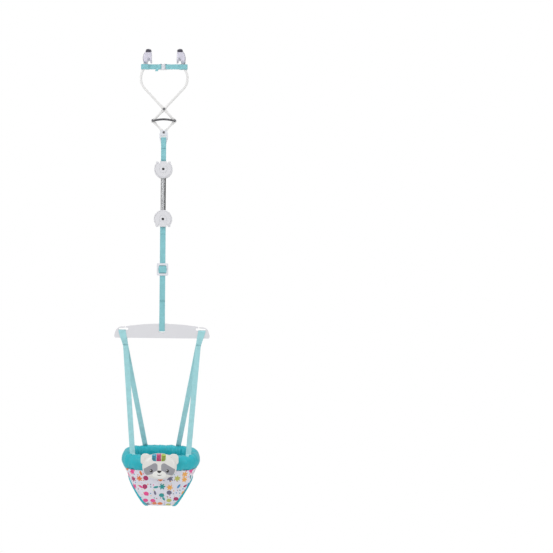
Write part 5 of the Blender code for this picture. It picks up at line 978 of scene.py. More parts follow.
# The right strap's inner stretch gives way when the plug comes out, its outer one when the arm opens
right_line = resampled(safety_strap_path(1), STRAP_STEP / 2, closed=True)
outer = [place for place in right_line if place.x > SAFETY_SPLIT_X]
first = right_line.index(outer[0])
inner = right_line[first + len(outer):] + right_line[:first]
front_cut = Vector((SAFETY_SPLIT_X, -STRAP_CLOSED))
back_cut = Vector((SAFETY_SPLIT_X, STRAP_CLOSED))
safety_piece("safety_webbing_right", [back_cut, *inner, front_cut], 1, ("buckle_plug", "clamp_frame"),
             (SAFETY_PLUG_X, SAFETY_SPLIT_X), "safety_strap_right", False)
safety_piece("safety_webbing_right_outer", [front_cut, *outer, back_cut], 1, ("clamp_frame", "right_arm"),
             (SAFETY_SPLIT_X, SAFETY_ARM_X), "safety_strap_right", False)

for word, side in (("left", -1), ("right", 1)):
    wrap_line = resampled(wrap_path(side), STRAP_STEP / 2, closed=True)
    frames = upright_frames(wrap_line, side, WRAP_SLANT)
    wrap = strap("safety_turn_" + word, frames, "turquoise_webbing", True)
    fitted(wrap, word + "_arm")

tail_frames = []
for k in range(TAIL_STEPS + 1):
    share = k / TAIL_STEPS
    tail_middle = Vector((TAIL_X - TAIL_SLANT * share, TAIL_LAYER - WEBBING * sin(pi * share),
                          TAIL_TOP_Z + (TAIL_BOTTOM_Z - TAIL_TOP_Z) * share))
    tail_frames.append((tail_middle, RIGHT, Vector((0, 1, 0)), TAIL_HALF_WIDTH))
tail = strap("safety_tail", tail_frames, "turquoise_webbing")
fitted(tail, ("clamp_frame", "left_arm"), ends=safety_ends(*SAFETY_BEND_X))

# Seat: padded cuff, bucket, leg bindings and the four straps
RING_HALF_WIDTH = 0.132
RING_HALF_DEPTH = 0.105
RING_SECTION_HALF_WIDTH = 0.024
RING_SECTION_HALF_HEIGHT = 0.031
RING_POWER = 3
CUFF_STEPS = 240
CUFF_SIDES = 40
SHELL_TOP_Z = -1.6358
SHELL_HEIGHT = 0.1594
SHELL_HALF_WIDTH = 0.146
SHELL_HALF_DEPTH = 0.118
SHELL_WIDTH_TAPER = 0.041
SHELL_DRAW = 0.010
SHELL_DRAW_SHARE = 0.8
SHELL_DEPTH_TAPER = 0.030
SHELL_STEPS = 224
SHELL_LEVELS = 72
LAST_LEVEL_SHARE = 0.985
CLOTH_THICKNESS = 0.0012
LEG_TOP_X = 0.128
LEG_TOP_Z = -1.692
LEG_BOTTOM_X = 0.064
LEG_BOTTOM_Z = -1.792
BINDING_REACH = 0.0072
BAND_WIDTH = 0.0150
BINDING_HALF_THICKNESS = 0.0030
BINDING_STEPS = 160
BINDING_INSET = -0.0004
FINE_STEP = 0.0020
BINDING_SIDES = 14
FRONT_ANCHOR_X = 0.110
REAR_ANCHOR_X = 0.069
CREASE = 0.0020
PILLOW = 0.0024
SCALLOP = 0.0036
GATHER = 0.0030
SAG = 0.0050
FREE_REACH = 0.022
STRAP_TIE = 0.0038
TOY_TIE = 0.0012
TIE_WIDTH = 0.10
FLOOR_UV = 0.03
LEG_SPAN = 0.3
LEG_TRIES = 6000
PUCKER_SCALE = 160.0


def plan_radius(angle, half_width, half_depth, power=RING_POWER):
    across = abs(cos(angle) / half_width) ** power
    along = abs(sin(angle) / half_depth) ** power
    return (across + along) ** (-1 / power)


def ring_point(angle):
    """Place and outward direction on the cuff's middle line."""
    radius = plan_radius(angle, RING_HALF_WIDTH, RING_HALF_DEPTH)
    x = radius * cos(angle)
    y = radius * sin(angle)
    outward = Vector((
        copysign(abs(x / RING_HALF_WIDTH) ** (RING_POWER - 1) / RING_HALF_WIDTH, x),
        copysign(abs(y / RING_HALF_DEPTH) ** (RING_POWER - 1) / RING_HALF_DEPTH, y),
        0,
    )).normalized()
    return Vector((x, y, RING_Z)), outward


def depth_at(x, half_width, half_depth):
    """How deep the plan's outline is at that x."""
    return half_depth * (1 - (x / half_width) ** RING_POWER) ** (1 / RING_POWER)


def ring_angle_at(x, front):
    """Angle round the cuff where its middle line has that x."""
    y = depth_at(abs(x), RING_HALF_WIDTH, RING_HALF_DEPTH)
    return atan2(-y if front else y, x)


TIES = [(ring_angle_at(side * reach, front), STRAP_TIE)
        for reach, front in ((FRONT_ANCHOR_X, True), (REAR_ANCHOR_X, False)) for side in (-1, 1)]
TIES.append((-pi / 2, TOY_TIE))


def turned_away(angle, other):
    return abs((angle - other + pi) % (2 * pi) - pi)


def cuff_swell(angle, section):
    """How far the padded cuff stands in or out of its plain round section."""
    inward = 0.0
    for tie, depth in TIES:
        away = turned_away(angle, tie) / TIE_WIDTH
        inward += depth * exp(-away * away) * (0.45 + 0.55 * sin(section))
    x = 5.0 * cos(angle)
    y = 5.0 * sin(angle)
    seam = max(0.0, -sin(section + 0.25)) ** 2 + 0.45 * max(0.0, sin(section)) ** 6
    folds = noise.noise(Vector((x * 2.6, y * 2.6, section * 0.35)))
    fine = noise.noise(Vector((x * 6.0, y * 6.0, section * 0.5 + 9.0)))
    near_tie = max(exp(-(turned_away(angle, tie) / (2.6 * TIE_WIDTH)) ** 2) for tie, _ in TIES)
    inner = max(0.0, -cos(section))
    wrinkle = (folds * 1.3 + fine * 0.7) * CREASE * (0.30 + 1.4 * seam + 1.1 * near_tie + 0.9 * inner)
    pillow = PILLOW * noise.noise(Vector((x * 0.6, y * 0.6, sin(section) + 3.0)))
    scallop = SCALLOP * max(0.0, -sin(section)) ** 3 * noise.noise(Vector((x * 1.7, y * 1.7, 7.0)))
    return wrinkle + pillow + scallop - inward


def cuff_size(angle, section):
    """Half width and half height of the cuff's section, a little flatter on top."""
    swell = cuff_swell(angle, section)
    droop = 1 - 0.10 * max(0.0, sin(section)) ** 2
    return RING_SECTION_HALF_WIDTH + swell, (RING_SECTION_HALF_HEIGHT + swell) * droop


def cuff_ring(angle):
    """The section's outline, fuller low down, as in a slack cushion."""
    centre, outward = ring_point(angle)
    ring = []
    for section in circle(CUFF_SIDES):
        wide, tall = cuff_size(angle, section)
        ring.append(centre + outward * wide * cos(section) * (1 + 0.05 * max(0.0, -sin(section)))
                    + Vector((0, 0, tall * sin(section))))
    return ring


cuff = lofted("seat_cuff", [cuff_ring(angle) for angle in circle(CUFF_STEPS)], "teal_fabric", along=True)
fitted(cuff, "seat", "seat_ring")


def shell_size(share, inset=0.0):
    drawn_in = SHELL_DRAW * sin(pi * min(1.0, share / SHELL_DRAW_SHARE))
    wide = (SHELL_HALF_WIDTH - inset - SHELL_WIDTH_TAPER * share - drawn_in) * (1 - share ** 5) ** (1 / 5)
    deep = (SHELL_HALF_DEPTH - inset - SHELL_DEPTH_TAPER * share) * (1 - share ** 3) ** (1 / 3)
    return wide, deep, SHELL_TOP_Z - share * (SHELL_HEIGHT - inset)


# Direction down the right leg hole's plane, and the one out of the hole
LEG_TOP = Vector((LEG_TOP_X, 0, LEG_TOP_Z))
LEG_RUN = Vector((LEG_BOTTOM_X - LEG_TOP_X, 0, LEG_BOTTOM_Z - LEG_TOP_Z)).normalized()
LEG_NORMAL = Vector((-LEG_RUN.z, 0, LEG_RUN.x))
LEG_EDGE = LEG_TOP - LEG_NORMAL * BINDING_REACH


def leg_distance(point):
    """Distance inside the nearer leg hole's edge plane."""
    return -(Vector((abs(point[0]), point[1], point[2])) - LEG_EDGE).dot(LEG_NORMAL)


def shell_point(angle, share):
    """Point of the fabric bucket, with its slack folds away from the sewn edges."""
    wide, deep, z = shell_size(share)
    radius = plan_radius(angle, wide, deep)
    point = Vector((radius * cos(angle), radius * sin(angle), z))
    free = smooth((leg_distance(point) - BAND_WIDTH / 2) / FREE_REACH)
    free *= smooth(share / 0.10) * smooth((1 - share) / 0.12)
    gather = noise.noise(Vector((9.0 * cos(angle), 9.0 * sin(angle), share * 1.2)))
    sag = noise.noise(Vector((2.4 * cos(angle), 2.4 * sin(angle), share * 3.4 + 5.0)))
    swell = free * (gather * GATHER * (1.1 - share) + sag * SAG)
    outward = Vector((cos(angle), sin(angle), 0))
    return point + outward * swell


def shell_mesh(name):
    """Open bucket cut off at the leg planes, with a second skin inside it."""
    levels = [LAST_LEVEL_SHARE * (k / (SHELL_LEVELS - 1)) ** 0.92 for k in range(SHELL_LEVELS)]
    bm = bmesh.new()
    layer = bm.loops.layers.uv.new("UVMap")
    grid = []
    places = []
    down = 0.0
    for index, share in enumerate(levels):
        row = [shell_point(pi / 2 + 2 * pi * k / SHELL_STEPS, share) for k in range(SHELL_STEPS + 1)]
        around = reaches(row)
        if index:
            down += (row[SHELL_STEPS // 2] - grid[-1][SHELL_STEPS // 2].co).length
        grid.append([bm.verts.new(point) for point in row[:-1]])
        grid[-1].append(grid[-1][0])
        places.append([(distance - around[-1] / 2, down) for distance in around])
    for i in range(SHELL_LEVELS - 1):
        for j in range(SHELL_STEPS):
            corners = ((i, j), (i, j + 1), (i + 1, j + 1), (i + 1, j))
            face = bm.faces.new([grid[a][b] for a, b in corners])
            for loop, (a, b) in zip(face.loops, corners):
                loop[layer].uv = places[a][b]
    floor = bm.verts.new(sum((vert.co for vert in grid[-1][:-1]), Vector()) / SHELL_STEPS)
    for j in range(SHELL_STEPS):
        face = bm.faces.new((grid[-1][j], grid[-1][j + 1], floor))
        for loop, place in zip(face.loops, (places[-1][j], places[-1][j + 1], (0.0, down + FLOOR_UV))):
            loop[layer].uv = place
    for side in (-1, 1):
        bmesh.ops.bisect_plane(bm, geom=[*bm.verts, *bm.edges, *bm.faces], plane_co=sided(side, LEG_EDGE),
                               plane_no=sided(side, LEG_NORMAL), clear_outer=True)
    obj = from_bmesh(name, bm, "print_fabric")
    return changed(obj, "SOLIDIFY", CLOTH_CREASE, thickness=CLOTH_THICKNESS, offset=-1)


shell = fitted(shell_mesh("seat_bucket"), "seat", "seat_shell")


def leg_loop(back):
    """Points where the bucket's wall meets the leg plane moved back into the seat."""
    origin = LEG_TOP - LEG_NORMAL * back

    def half_depth(distance):
        place = origin + LEG_RUN * distance
        share = (SHELL_TOP_Z - place.z) / (SHELL_HEIGHT - BINDING_INSET)
        if share <= 0 or share >= 1:
            return None
        wide, deep, _ = shell_size(share, BINDING_INSET)
        if abs(place.x) >= wide:
            return None
        return depth_at(abs(place.x), wide, deep)

    inside = [LEG_SPAN * (k / LEG_TRIES - 0.5) for k in range(LEG_TRIES)]
    inside = [distance for distance in inside if half_depth(distance) is not None]
    first, last = inside[0], inside[-1]
    near, far = [], []
    for k in range(BINDING_STEPS // 2 + 1):
        distance = (first + last) / 2 - (last - first) / 2 * cos(2 * pi * k / BINDING_STEPS)
        place = origin + LEG_RUN * distance
        deep = half_depth(distance) or 0
        if k in (0, BINDING_STEPS // 2):
            near.append(Vector((place.x, 0, place.z)))
            continue
        near.append(Vector((place.x, -deep, place.z)))
        far.append(Vector((place.x, deep, place.z)))
    return near + far[::-1]


def leg_binding(name, side):
    """Padded band round a leg hole, with small puckers along its seam."""
    loop = leg_loop(BAND_WIDTH / 2)
    further_in = leg_loop(BAND_WIDTH / 2 + FINE_STEP)
    middle = sum(loop, Vector()) / len(loop)
    rings = []
    for index, (point, run) in enumerate(zip(loop, runs(loop, True))):
        along = (further_in[index] - point).normalized()
        outward = run.cross(along).normalized()
        if outward.dot(point - middle) < 0:
            outward = -outward
        pucker = 1 + 0.22 * noise.noise(point * PUCKER_SCALE) + 0.10 * sin(index * 1.9)
        ring = []
        for angle in circle(BINDING_SIDES):
            flat = copysign(abs(cos(angle)) ** 0.7, cos(angle))
            place = point + along * (BAND_WIDTH / 2 * flat)
            place += outward * BINDING_HALF_THICKNESS * pucker * sin(angle)
            ring.append(sided(side, place))
        rings.append(ring)
    return lofted(name, rings, "teal_fabric", along=True)


for word, side in (("left", -1), ("right", 1)):
    binding = fitted(leg_binding("leg_edge_" + word, side), "seat", "leg_binding_" + word)

SEAT_STRAP_HALF_WIDTH = 0.0105
SEAT_STRAP_SEWN_TOP_Z = -1.150
SEAT_STRAP_SEWN_Z = -1.162
SEAT_STRAP_STITCH_Z = -1.157
SEAT_STRAP_SEWN_INSET = 0.015
SEAT_STRAP_FLARE = 0.0037
END_LIFT = 0.0012
END_STEPS = 12
BEND_PASSES = 2
STRAP_TURN = 0.05
FRONT_SINK = 0.0030
# Place on the cuff, first and last angle round its section, and how far the end sinks in, front and rear
SEAT_STRAP_ENDS = {
    True: (FRONT_ANCHOR_X, radians(112), radians(86), FRONT_SINK),
    False: (REAR_ANCHOR_X, radians(80), radians(20), 0),
}


def cuff_surface(angle, section, lift=0.0):
    """Point and outward normal on the cuff, lifted off it."""
    centre, outward = ring_point(angle)
    wide, tall = cuff_size(angle, section)
    normal = (outward * cos(section) / wide + Vector((0, 0, sin(section) / tall))).normalized()
    point = centre + outward * wide * cos(section) + Vector((0, 0, tall * sin(section)))
    return point + normal * lift, normal


def cuff_surface_at(x, section, front, lift):
    """Point and normal on the cuff's surface straight above or below the place where it has that x."""
    low = ring_angle_at(0, front)
    high = ring_angle_at(RING_HALF_WIDTH * 0.995, front)
    for _ in range(24):
        middle = (low + high) / 2
        point, normal = cuff_surface(middle, section, lift)
        if point.x < x:
            low = middle
        else:
            high = middle
    return point, normal


def seat_strap_frames(side, front):
    """Half a seat strap: from the top of the hook down to the cuff and straight over its edge."""
    facing = -1 if front else 1
    outside = facing * (SPREADER_HALF_DEPTH + GAP + WEBBING / 2)
    bends = rounded([
        (0, HOOK_Z + GAP + WEBBING / 2, 0),
        (outside, HOOK_Z + GAP + WEBBING / 2, SHARP_BEND),
        (outside, SPREADER_FLOOR_Z - WEBBING, CORNER_BEND),
        (facing * STRAP_CLOSED, SEAT_STRAP_SEWN_TOP_Z, CORNER_BEND),
        (facing * STRAP_CLOSED, SEAT_STRAP_SEWN_Z, 0),
    ], closed=False)
    points = []
    for a, b in bends:
        inset_share = max(0, HOOK_Z - b) / (HOOK_Z - SEAT_STRAP_SEWN_Z)
        points.append(Vector((HOOK_X - SEAT_STRAP_SEWN_INSET * inset_share, a, b)))
    anchor, first, last, sink = SEAT_STRAP_ENDS[front]
    laid = []
    for k in range(END_STEPS + 1):
        section = first + (last - first) * k / END_STEPS
        laid.append(cuff_surface_at(anchor, section, front, END_LIFT + WEBBING / 2 - sink * k / END_STEPS))
    points += [place for place, _ in laid]
    line = resampled(points, STRAP_STEP)
    for _ in range(BEND_PASSES):
        line = line[:1] + [(a + b * 2 + c) / 4 for a, b, c in zip(line, line[1:], line[2:])] + line[-1:]
    gone = reaches(line)
    turn_start = gone[-1] - reaches([place for place, _ in laid])[-1] - STRAP_TURN
    frames = []
    for point, run, distance in zip(line, runs(line), gone):
        turning = 0 if front else smooth((distance - turn_start) / STRAP_TURN)
        nearest = min(laid, key=lambda item: (item[0] - point).length)
        flat = nearest[1].cross(run)
        if flat.x < 0:
            flat = -flat
        aim = RIGHT.lerp(flat, turning)
        across = (aim - run * aim.dot(run)).normalized()
        spread = SEAT_STRAP_FLARE * smooth((point.z - SEAT_STRAP_SEWN_Z) / (HOOK_Z - SEAT_STRAP_SEWN_Z))
        frames.append((sided(side, point), sided(side, across), sided(side, run.cross(across)),
                       SEAT_STRAP_HALF_WIDTH + spread))
    return frames


for word, side in (("left", -1), ("right", 1)):
    rear = [(middle, across, -through, half)
            for middle, across, through, half in seat_strap_frames(side, False)]
    frames = seat_strap_frames(side, True)[::-1] + rear[1:]
    webbing = strap("seat_webbing_" + word, frames, "pale_turquoise_webbing")
    fitted(webbing, "seat", "seat_strap_" + word)
    stitch_row("seat_strap_stitches_" + word, webbing, SEAT_STRAP_STITCH_Z, "seat")

# Toy: a smooth shell with painted face pieces, in the toy's own frame
TOY_CENTRE = (0, -0.1530, -1.609)
TOY_LEAN = radians(-4)
TOY_PLACE = Matrix.Translation(TOY_CENTRE) @ Matrix.Rotation(TOY_LEAN, 4, "X")
TOY_HALF_WIDTH = 0.0664
TOY_HALF_HEIGHT = 0.0490
TOY_POWER = 2.08
EAR_CORNERS = (
    (0.0300, 0.0330, 0),
    (0.0430, 0.0475, 0.0200),
    (0.0722, 0.0475, 0.0150),
    (0.0726, 0.0130, 0.0110),
    (0.0600, 0.0030, 0),
    (0.0400, 0.0030, 0),
)
EAR_FRONT = -0.0100
EAR_BACK = 0.0030
EAR_EDGE = 0.0036
BAND_SHARES = (
    (1, 0), (0.992, 0.30), (0.97, 0.62), (0.93, 0.90), (0.88, 1), (0.78, 0.95), (0.78, 0.05), (0.90, 0),
)
BAND_DEPTH = 0.0115
TOY_FRONT_DEPTH = 0.024
TOY_STEPS = 144
TOY_LEVELS = 18
CROWN_SHARES = (0.34, 0.2, 0.08)
LENS_EDGES_X = (-0.0295, -0.0115, 0.0070, 0.0250)
LENS_BOTTOM_Z = 0.0222
LENS_RIB = 0.0008
LENS_CORNER = 0.0105
LENS_SMALL_CORNER = 0.0008
LENS_TOP_Z = 0.09
LENS_FRONT = -0.05
LENS_BACK = -0.0060
WINDOW_GROW = 0.0004
CAST_START_Y = -0.1
MISSED_Y = -0.001
PATCH_LIFT = 0.00015
MUZZLE_LIFT = 0.0003
EYE_LIFT = 0.0004
NOSE_LIFT = 0.0006
GLINT_LIFT = 0.0007
DECAL_STEP = 0.0015
WIDE_STEP = 0.002


def toy_outline():
    """Head seen from the front, as (x, z)."""
    outline = []
    for k in range(TOY_STEPS):
        angle = 2 * pi * (k + 0.5) / TOY_STEPS
        radius = plan_radius(angle, TOY_HALF_WIDTH, TOY_HALF_HEIGHT, TOY_POWER)
        outline.append((radius * cos(angle), radius * sin(angle)))
    return outline


def toy_dome(grow=0.0):
    """Rounded front of the toy, closed at the back, as a bmesh."""
    depths = [(1, 0.0)]
    for level in range(1, TOY_LEVELS + 1):
        share = sin(pi / 2 * level / TOY_LEVELS)
        depths.append((0.46 + 0.54 * (1 - share ** 3.2) ** (1 / 2.4), -TOY_FRONT_DEPTH * share - grow))
    depths += [(size, -TOY_FRONT_DEPTH - grow) for size in CROWN_SHARES]
    return bridged([[(a * size, depth, b * size) for a, b in toy_outline()] for size, depth in depths])


def lens_prism(index, grow):
    low = LENS_EDGES_X[index] + LENS_RIB - grow
    high = LENS_EDGES_X[index + 1] - LENS_RIB + grow
    foot = LENS_BOTTOM_Z - grow
    left = LENS_CORNER if index == 0 else LENS_SMALL_CORNER
    right = LENS_CORNER if index == 2 else LENS_SMALL_CORNER
    outline = rounded([(low, foot, left), (high, foot, right), (high, LENS_TOP_Z, 0), (low, LENS_TOP_Z, 0)])
    return prism(outline, LENS_FRONT, LENS_BACK)


toy_parts = []
toy_front = cut(from_bmesh("toy_face_shell", toy_dome(), "toy_plastic"), "DIFFERENCE",
                [lens_prism(index, GAP) for index in range(3)])
toy_parts.append((toy_front, "toy_front_shell", "toy_plastic"))
for side, word in ((-1, "left"), (1, "right")):
    ear_outline = [(side * a, b) for a, b in rounded(EAR_CORNERS)]
    ear = from_bmesh("toy_ear_" + word, prism(ear_outline, EAR_FRONT, EAR_BACK), "toy_plastic")
    changed(ear, "BEVEL", CUT_CREASE, width=EAR_EDGE, segments=5, limit_method="ANGLE",
            angle_limit=BEVEL_ANGLE)
    toy_parts.append((ear, "toy_front_shell", "toy_plastic"))
band_rings = [[(a * share, depth * BAND_DEPTH, b * share) for share, depth in BAND_SHARES]
              for a, b in toy_outline()]
band = lofted("toy_back_band", band_rings, "toy_plastic", along=True)
toy_parts.append((band, "toy_front_shell", "toy_plastic"))
toy_windows = []
for index, (word, colour) in enumerate((("left", "blue"), ("middle", "pink"), ("right", "lime"))):
    piece = from_bmesh("toy_window_" + word, toy_dome(WINDOW_GROW), colour + "_lens")
    toy_windows.append(cut(piece, "INTERSECT", [lens_prism(index, 0.0)]))
    toy_parts.append((piece, "toy_lens_" + word, colour + "_lens"))


def decal(name, outline, finish, lift, step=DECAL_STEP, ground=toy_front):
    """Thin painted piece laid on the toy's front: an outline in (x, z), dropped on along y."""
    bm = bmesh.new()
    bm.faces.new([bm.verts.new((a, 0, b)) for a, b in outline])
    for axis, values in ((0, [a for a, _ in outline]), (2, [b for _, b in outline])):
        low = min(values)
        high = max(values)
        count = max(1, int((high - low) / step))
        across = Vector([float(k == axis) for k in range(3)])
        for k in range(1, count):
            bmesh.ops.bisect_plane(bm, geom=[*bm.verts, *bm.edges, *bm.faces],
                                   plane_co=across * (low + (high - low) * k / count), plane_no=across)
    for vert in bm.verts:
        start = Vector((vert.co.x, CAST_START_Y, vert.co.z))
        hit, spot, normal, _ = ground.ray_cast(start, Vector((0, 1, 0)))
        if hit:
            vert.co = spot + normal * lift
        else:
            vert.co.y = MISSED_Y
    bmesh.ops.recalc_face_normals(bm, faces=bm.faces)
    if sum(face.normal.y for face in bm.faces) > 0:
        bmesh.ops.reverse_faces(bm, faces=bm.faces)
    obj = from_bmesh(name, bm, finish, outward=False)
    obj.data.shade_smooth()
    return obj


def oval(a, b, wide, tall, power=2.0, steps=48):
    return [(a + copysign(abs(cos(t)) ** (2 / power), cos(t)) * wide,
             b + copysign(abs(sin(t)) ** (2 / power), sin(t)) * tall)
            for t in circle(steps)]


PATCH_GREY = moulded("painted_patch", (0.30, 0.30, 0.33), 0.4)
MUZZLE_PAINT = moulded("painted_muzzle", (0.80, 0.80, 0.77), 0.38)
FACE_BLACK = moulded("painted_black", (0.025, 0.022, 0.022), 0.25, coat=0.4)
FACE_WHITE = moulded("painted_white", (0.85, 0.85, 0.85), 0.3)
PATCH_CORNERS = (
    (0.0070, -0.0125, 0.0040),
    (0.0070, 0.0145, 0.0100),
    (0.0205, 0.0145, 0.0120),
    (0.0605, -0.0085, 0.0040),
    (0.0555, -0.0260, 0.0100),
    (0.0480, -0.0320, 0.0040),
    (0.0255, -0.0260, 0.0060),
    (0.0180, -0.0180, 0.0060),
)
NOSE_CORNERS = (
    (0.0084, -0.0130, 0.0030),
    (0.0084, -0.0175, 0.0040),
    (0, -0.0236, 0.0040),
    (-0.0084, -0.0175, 0.0040),
    (-0.0084, -0.0130, 0.0030),
)
EYE_X = 0.0308
EYE_Z = -0.0142
EYE_RADIUS = 0.0060
MUZZLE_Z = -0.0285
SMILE_HALF_WIDTH = 0.0095
SMILE_DROP = 0.0056
SMILE_THICKNESS = 0.0021
SMILE_Z = -0.0265
SMILE_REACH = radians(62)
SMILE_STEPS = 16
PANEL_RIM = 0.0022
# Height of a painted glint line across the left and middle windows, where the lens shows between two shaded
# fields, and the line's half width
GLINT_LINES_Z = (0.0360, 0.0365, None)
GLINT_HALF_WIDTH = 0.0008
GLINT_OFFSET = (-0.0022, 0.0019)
GLINT_RADIUS = 0.0016
MUZZLE_HALF_WIDTH = 0.0262
MUZZLE_HALF_HEIGHT = 0.0152
decals = []
for word, side in (("left", -1), ("right", 1)):
    patch = [(side * a, b) for a, b in rounded(PATCH_CORNERS)]
    decals.append(decal("toy_patch_" + word, patch, PATCH_GREY, PATCH_LIFT))
    eye = oval(side * EYE_X, EYE_Z, EYE_RADIUS, EYE_RADIUS)
    decals.append(decal("toy_eye_" + word, eye, FACE_BLACK, EYE_LIFT))
    glint = oval(side * EYE_X + GLINT_OFFSET[0], EYE_Z + GLINT_OFFSET[1], GLINT_RADIUS, GLINT_RADIUS,
                 steps=20)
    decals.append(decal("toy_glint_" + word, glint, FACE_WHITE, GLINT_LIFT, WIDE_STEP))
muzzle = oval(0, MUZZLE_Z, MUZZLE_HALF_WIDTH, MUZZLE_HALF_HEIGHT, 2.1)
decals.append(decal("toy_muzzle", muzzle, MUZZLE_PAINT, MUZZLE_LIFT))
decals.append(decal("toy_nose", rounded(NOSE_CORNERS), FACE_BLACK, NOSE_LIFT))
SMILE = []
for direction, rise in ((1, 0.0), (-1, SMILE_THICKNESS)):
    for k in range(SMILE_STEPS + 1):
        t = direction * SMILE_REACH * (2 * k / SMILE_STEPS - 1)
        SMILE.append((SMILE_HALF_WIDTH * sin(t), SMILE_Z + rise * cos(t) - SMILE_DROP * cos(t)))
decals.append(decal("toy_smile", SMILE, FACE_BLACK, NOSE_LIFT, WIDE_STEP))


def panel(name, index, low, high):
    """Field of darker facets inside a window, below the head's top edge: a shaded copy of the lens as
    painted shade, leaving a lighter rim of lens round it.
    """
    colour = PANEL_COLOURS[index]
    left = LENS_EDGES_X[index] + LENS_RIB + PANEL_RIM
    right = LENS_EDGES_X[index + 1] - LENS_RIB - PANEL_RIM
    crest = min(TOY_HALF_HEIGHT * (1 - (abs(x) / TOY_HALF_WIDTH) ** 2) ** 0.5 for x in (left, right))
    top = min(high, crest - 2 * PANEL_RIM)
    inner = LENS_CORNER / 2 if low < LENS_BOTTOM_Z + 2 * PANEL_RIM else 0
    corners = [(left, low, inner if index == 0 else 0), (right, low, inner if index == 2 else 0),
               (right, top, 0), (left, top, 0)]
    made = decal(name, rounded(corners), PANEL_SHADE_LOOKS[colour], MUZZLE_LIFT, WIDE_STEP, toy_windows[index])
    return made


# Darker copies of the lens colours: painted shade inside the windows
PANEL_SHADE_LOOKS = {
    "blue": lens("blue_facets_look", (0.006, 0.20, 0.27)),
    "pink": lens("pink_facets_look", (0.50, 0.012, 0.12)),
    "lime": lens("lime_facets_look", (0.24, 0.31, 0.02)),
}
PANEL_COLOURS = tuple(PANEL_SHADE_LOOKS)
panels = []
# Each window's painted shade, split by a painted glint line where a height is given
for index, split in enumerate(GLINT_LINES_Z):
    low = LENS_BOTTOM_Z + PANEL_RIM
    if split is None:
        panels.append(panel("toy_facets_%d" % index, index, low, TOY_HALF_HEIGHT))
        continue
    panels.append(panel("toy_facets_%d_low" % index, index, low, split - GLINT_HALF_WIDTH))
    panels.append(panel("toy_facets_%d_high" % index, index, split + GLINT_HALF_WIDTH, TOY_HALF_HEIGHT))

TOY_BACK_DEPTH = 0.014
LUG_PIN_RADIUS = 0.0018
LUG_REACH = 0.0075
LUG_Z = 0.0080
TOY_STRAP_HALF_WIDTH = 0.0095
TOY_STRAP_LEAVE = radians(30)
TOY_STRAP_MEET = radians(330)
TOY_STRAP_PIN_START = radians(235)
TOY_STRAP_PIN_END = radians(125)
TOY_STRAP_STEPS = 48
PIN_STEPS = 10


def toy_strap_path():
    """Round the cuff at its front, and over the pin on the toy's back."""
    pin = TOY_PLACE @ Vector((0, TOY_BACK_DEPTH + LUG_REACH - LUG_PIN_RADIUS, LUG_Z))
    path = []
    for k in range(TOY_STRAP_STEPS + 1):
        section = TOY_STRAP_LEAVE + (TOY_STRAP_MEET - TOY_STRAP_LEAVE) * k / TOY_STRAP_STEPS
        place, _ = cuff_surface(-pi / 2, section, GAP + WEBBING / 2)
        path.append((place.y, place.z))
    reach = LUG_PIN_RADIUS + GAP + WEBBING / 2
    for k in range(PIN_STEPS + 1):
        angle = TOY_STRAP_PIN_START + (TOY_STRAP_PIN_END - TOY_STRAP_PIN_START) * k / PIN_STEPS
        path.append((pin.y + reach * cos(angle), pin.z + reach * sin(angle)))
    return path


toy_band = flat_strap("toy_band", toy_strap_path(), lambda z: TOY_STRAP_HALF_WIDTH, "teal_fabric")
fitted(toy_band, "seat", "toy_strap")
for obj, node, slot_name in toy_parts:
    obj.matrix_world = TOY_PLACE
    fitted(obj, "toy", node)
for obj in decals + panels:
    obj.matrix_world = TOY_PLACE
    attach(obj, "toy")

# Stage: white floor and surroundings, soft lights, camera at the photograph's angle
CAMERA_DISTANCE = 3.4
CAMERA_HEIGHT = -0.8825
CAMERA_AZIMUTH = radians(1.8)
CAMERA_LENS = 55.2
CAMERA_SENSOR = 36.0
CAMERA_SHIFT_X = 0.2062
CAMERA_ROLL = radians(0.5)
CAMERA_FAR = 30.0
FLOOR_Z = -2.15
FLOOR_HALF_SIZE = 6.0
WORLD_LIGHT = 0.72
STRIP_DIRECTION = (0.96, 0.28, 0)
LAMPS = (
    ("key", (-2.2, -2.6, 0.9), (0, 0, -0.95), 1.6, 38),
    ("fill", (2.6, -2.0, -0.4), (0, 0, -1.0), 1.2, 14),
    ("top", (0.2, 0.6, 1.6), (0, 0, -1.0), 1.8, 18),
)


def stage_material():
    """White to the eye; a pale matt floor to the lamps and in reflections."""
    shade = Shade("studio_white", (0.82, 0.82, 0.82), 0.9)
    glow = shade.node("Emission", {"Strength": 1.0}).outputs[0]
    mixed = shade.node("MixShader", {0: shade.seen(), 1: shade.shader.outputs[0], 2: glow}).outputs[0]
    output = next(node for node in shade.tree.nodes if node.type == "OUTPUT_MATERIAL")
    shade.feed(output, {"Surface": mixed})
    return shade.made


floor_mesh = bpy.data.meshes.new("floor")
floor_corners = [(FLOOR_HALF_SIZE * a, FLOOR_HALF_SIZE * b, FLOOR_Z)
                 for a, b in ((-1, -1), (1, -1), (1, 1), (-1, 1))]
floor_mesh.from_pydata(floor_corners, [], [(0, 1, 2, 3)])
floor = new_object("floor", floor_mesh, stage_material())

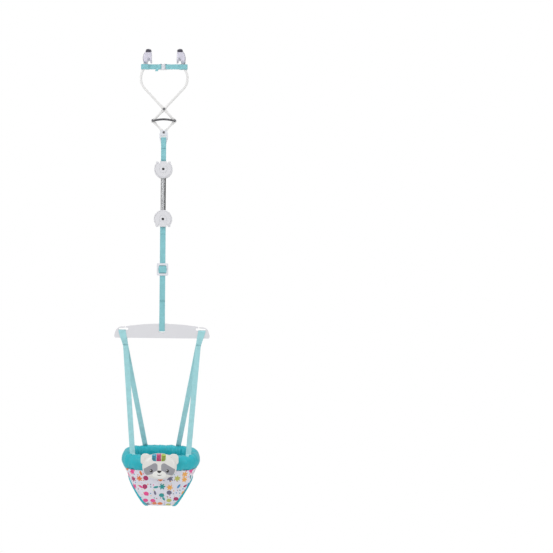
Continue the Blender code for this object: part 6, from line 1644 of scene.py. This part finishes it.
world = bpy.data.worlds.new("studio")
bpy.context.scene.world = world
world.use_nodes = True
studio = Nodes(world.node_tree)
level = studio.maths("MULTIPLY_ADD", studio.seen(), 1 - WORLD_LIGHT, WORLD_LIGHT)
# Polished metal mirrors a dark strip of the studio at its right
side_on = studio.node("VectorMath", {0: studio.coordinates("Generated"), 1: STRIP_DIRECTION},
                      operation="DOT_PRODUCT").outputs["Value"]
strip = studio.node("MapRange", {"Value": side_on, "From Min": 0.90, "From Max": 0.97, "To Min": 1.0,
                                 "To Max": 0.06}, interpolation_type="SMOOTHSTEP").outputs["Result"]
glossy = studio.node("LightPath", {}).outputs["Is Glossy Ray"]
mirrored_level = studio.node("Mix", {0: glossy, 2: 1.0, 3: strip}).outputs[0]
studio.feed(world.node_tree.nodes["Background"],
            {"Color": (1, 1, 1, 1), "Strength": studio.maths("MULTIPLY", level, mirrored_level)})


def lamp(name, place, aim, size, power):
    data = bpy.data.lights.new(name, "AREA")
    data.shape = "DISK"
    data.size = size
    data.energy = power
    obj = bpy.data.objects.new(name, data)
    bpy.context.collection.objects.link(obj)
    obj.location = place
    obj.rotation_euler = (Vector(aim) - Vector(place)).to_track_quat("-Z", "Y").to_euler()


for lamp_values in LAMPS:
    lamp(*lamp_values)

camera_data = bpy.data.cameras.new("camera")
camera_data.lens = CAMERA_LENS
camera_data.sensor_width = CAMERA_SENSOR
camera_data.shift_x = CAMERA_SHIFT_X
camera_data.clip_end = CAMERA_FAR
camera = bpy.data.objects.new("camera", camera_data)
bpy.context.collection.objects.link(camera)
camera.location = (CAMERA_DISTANCE * sin(CAMERA_AZIMUTH), -CAMERA_DISTANCE * cos(CAMERA_AZIMUTH),
                   CAMERA_HEIGHT)
aim = (Vector((0, 0, CAMERA_HEIGHT)) - camera.location).to_track_quat("-Z", "Y").to_matrix().to_4x4()
camera.rotation_euler = (aim @ Matrix.Rotation(CAMERA_ROLL, 4, "Z")).to_euler()
bpy.context.scene.camera = camera
bpy.context.scene.view_settings.view_transform = "Standard"
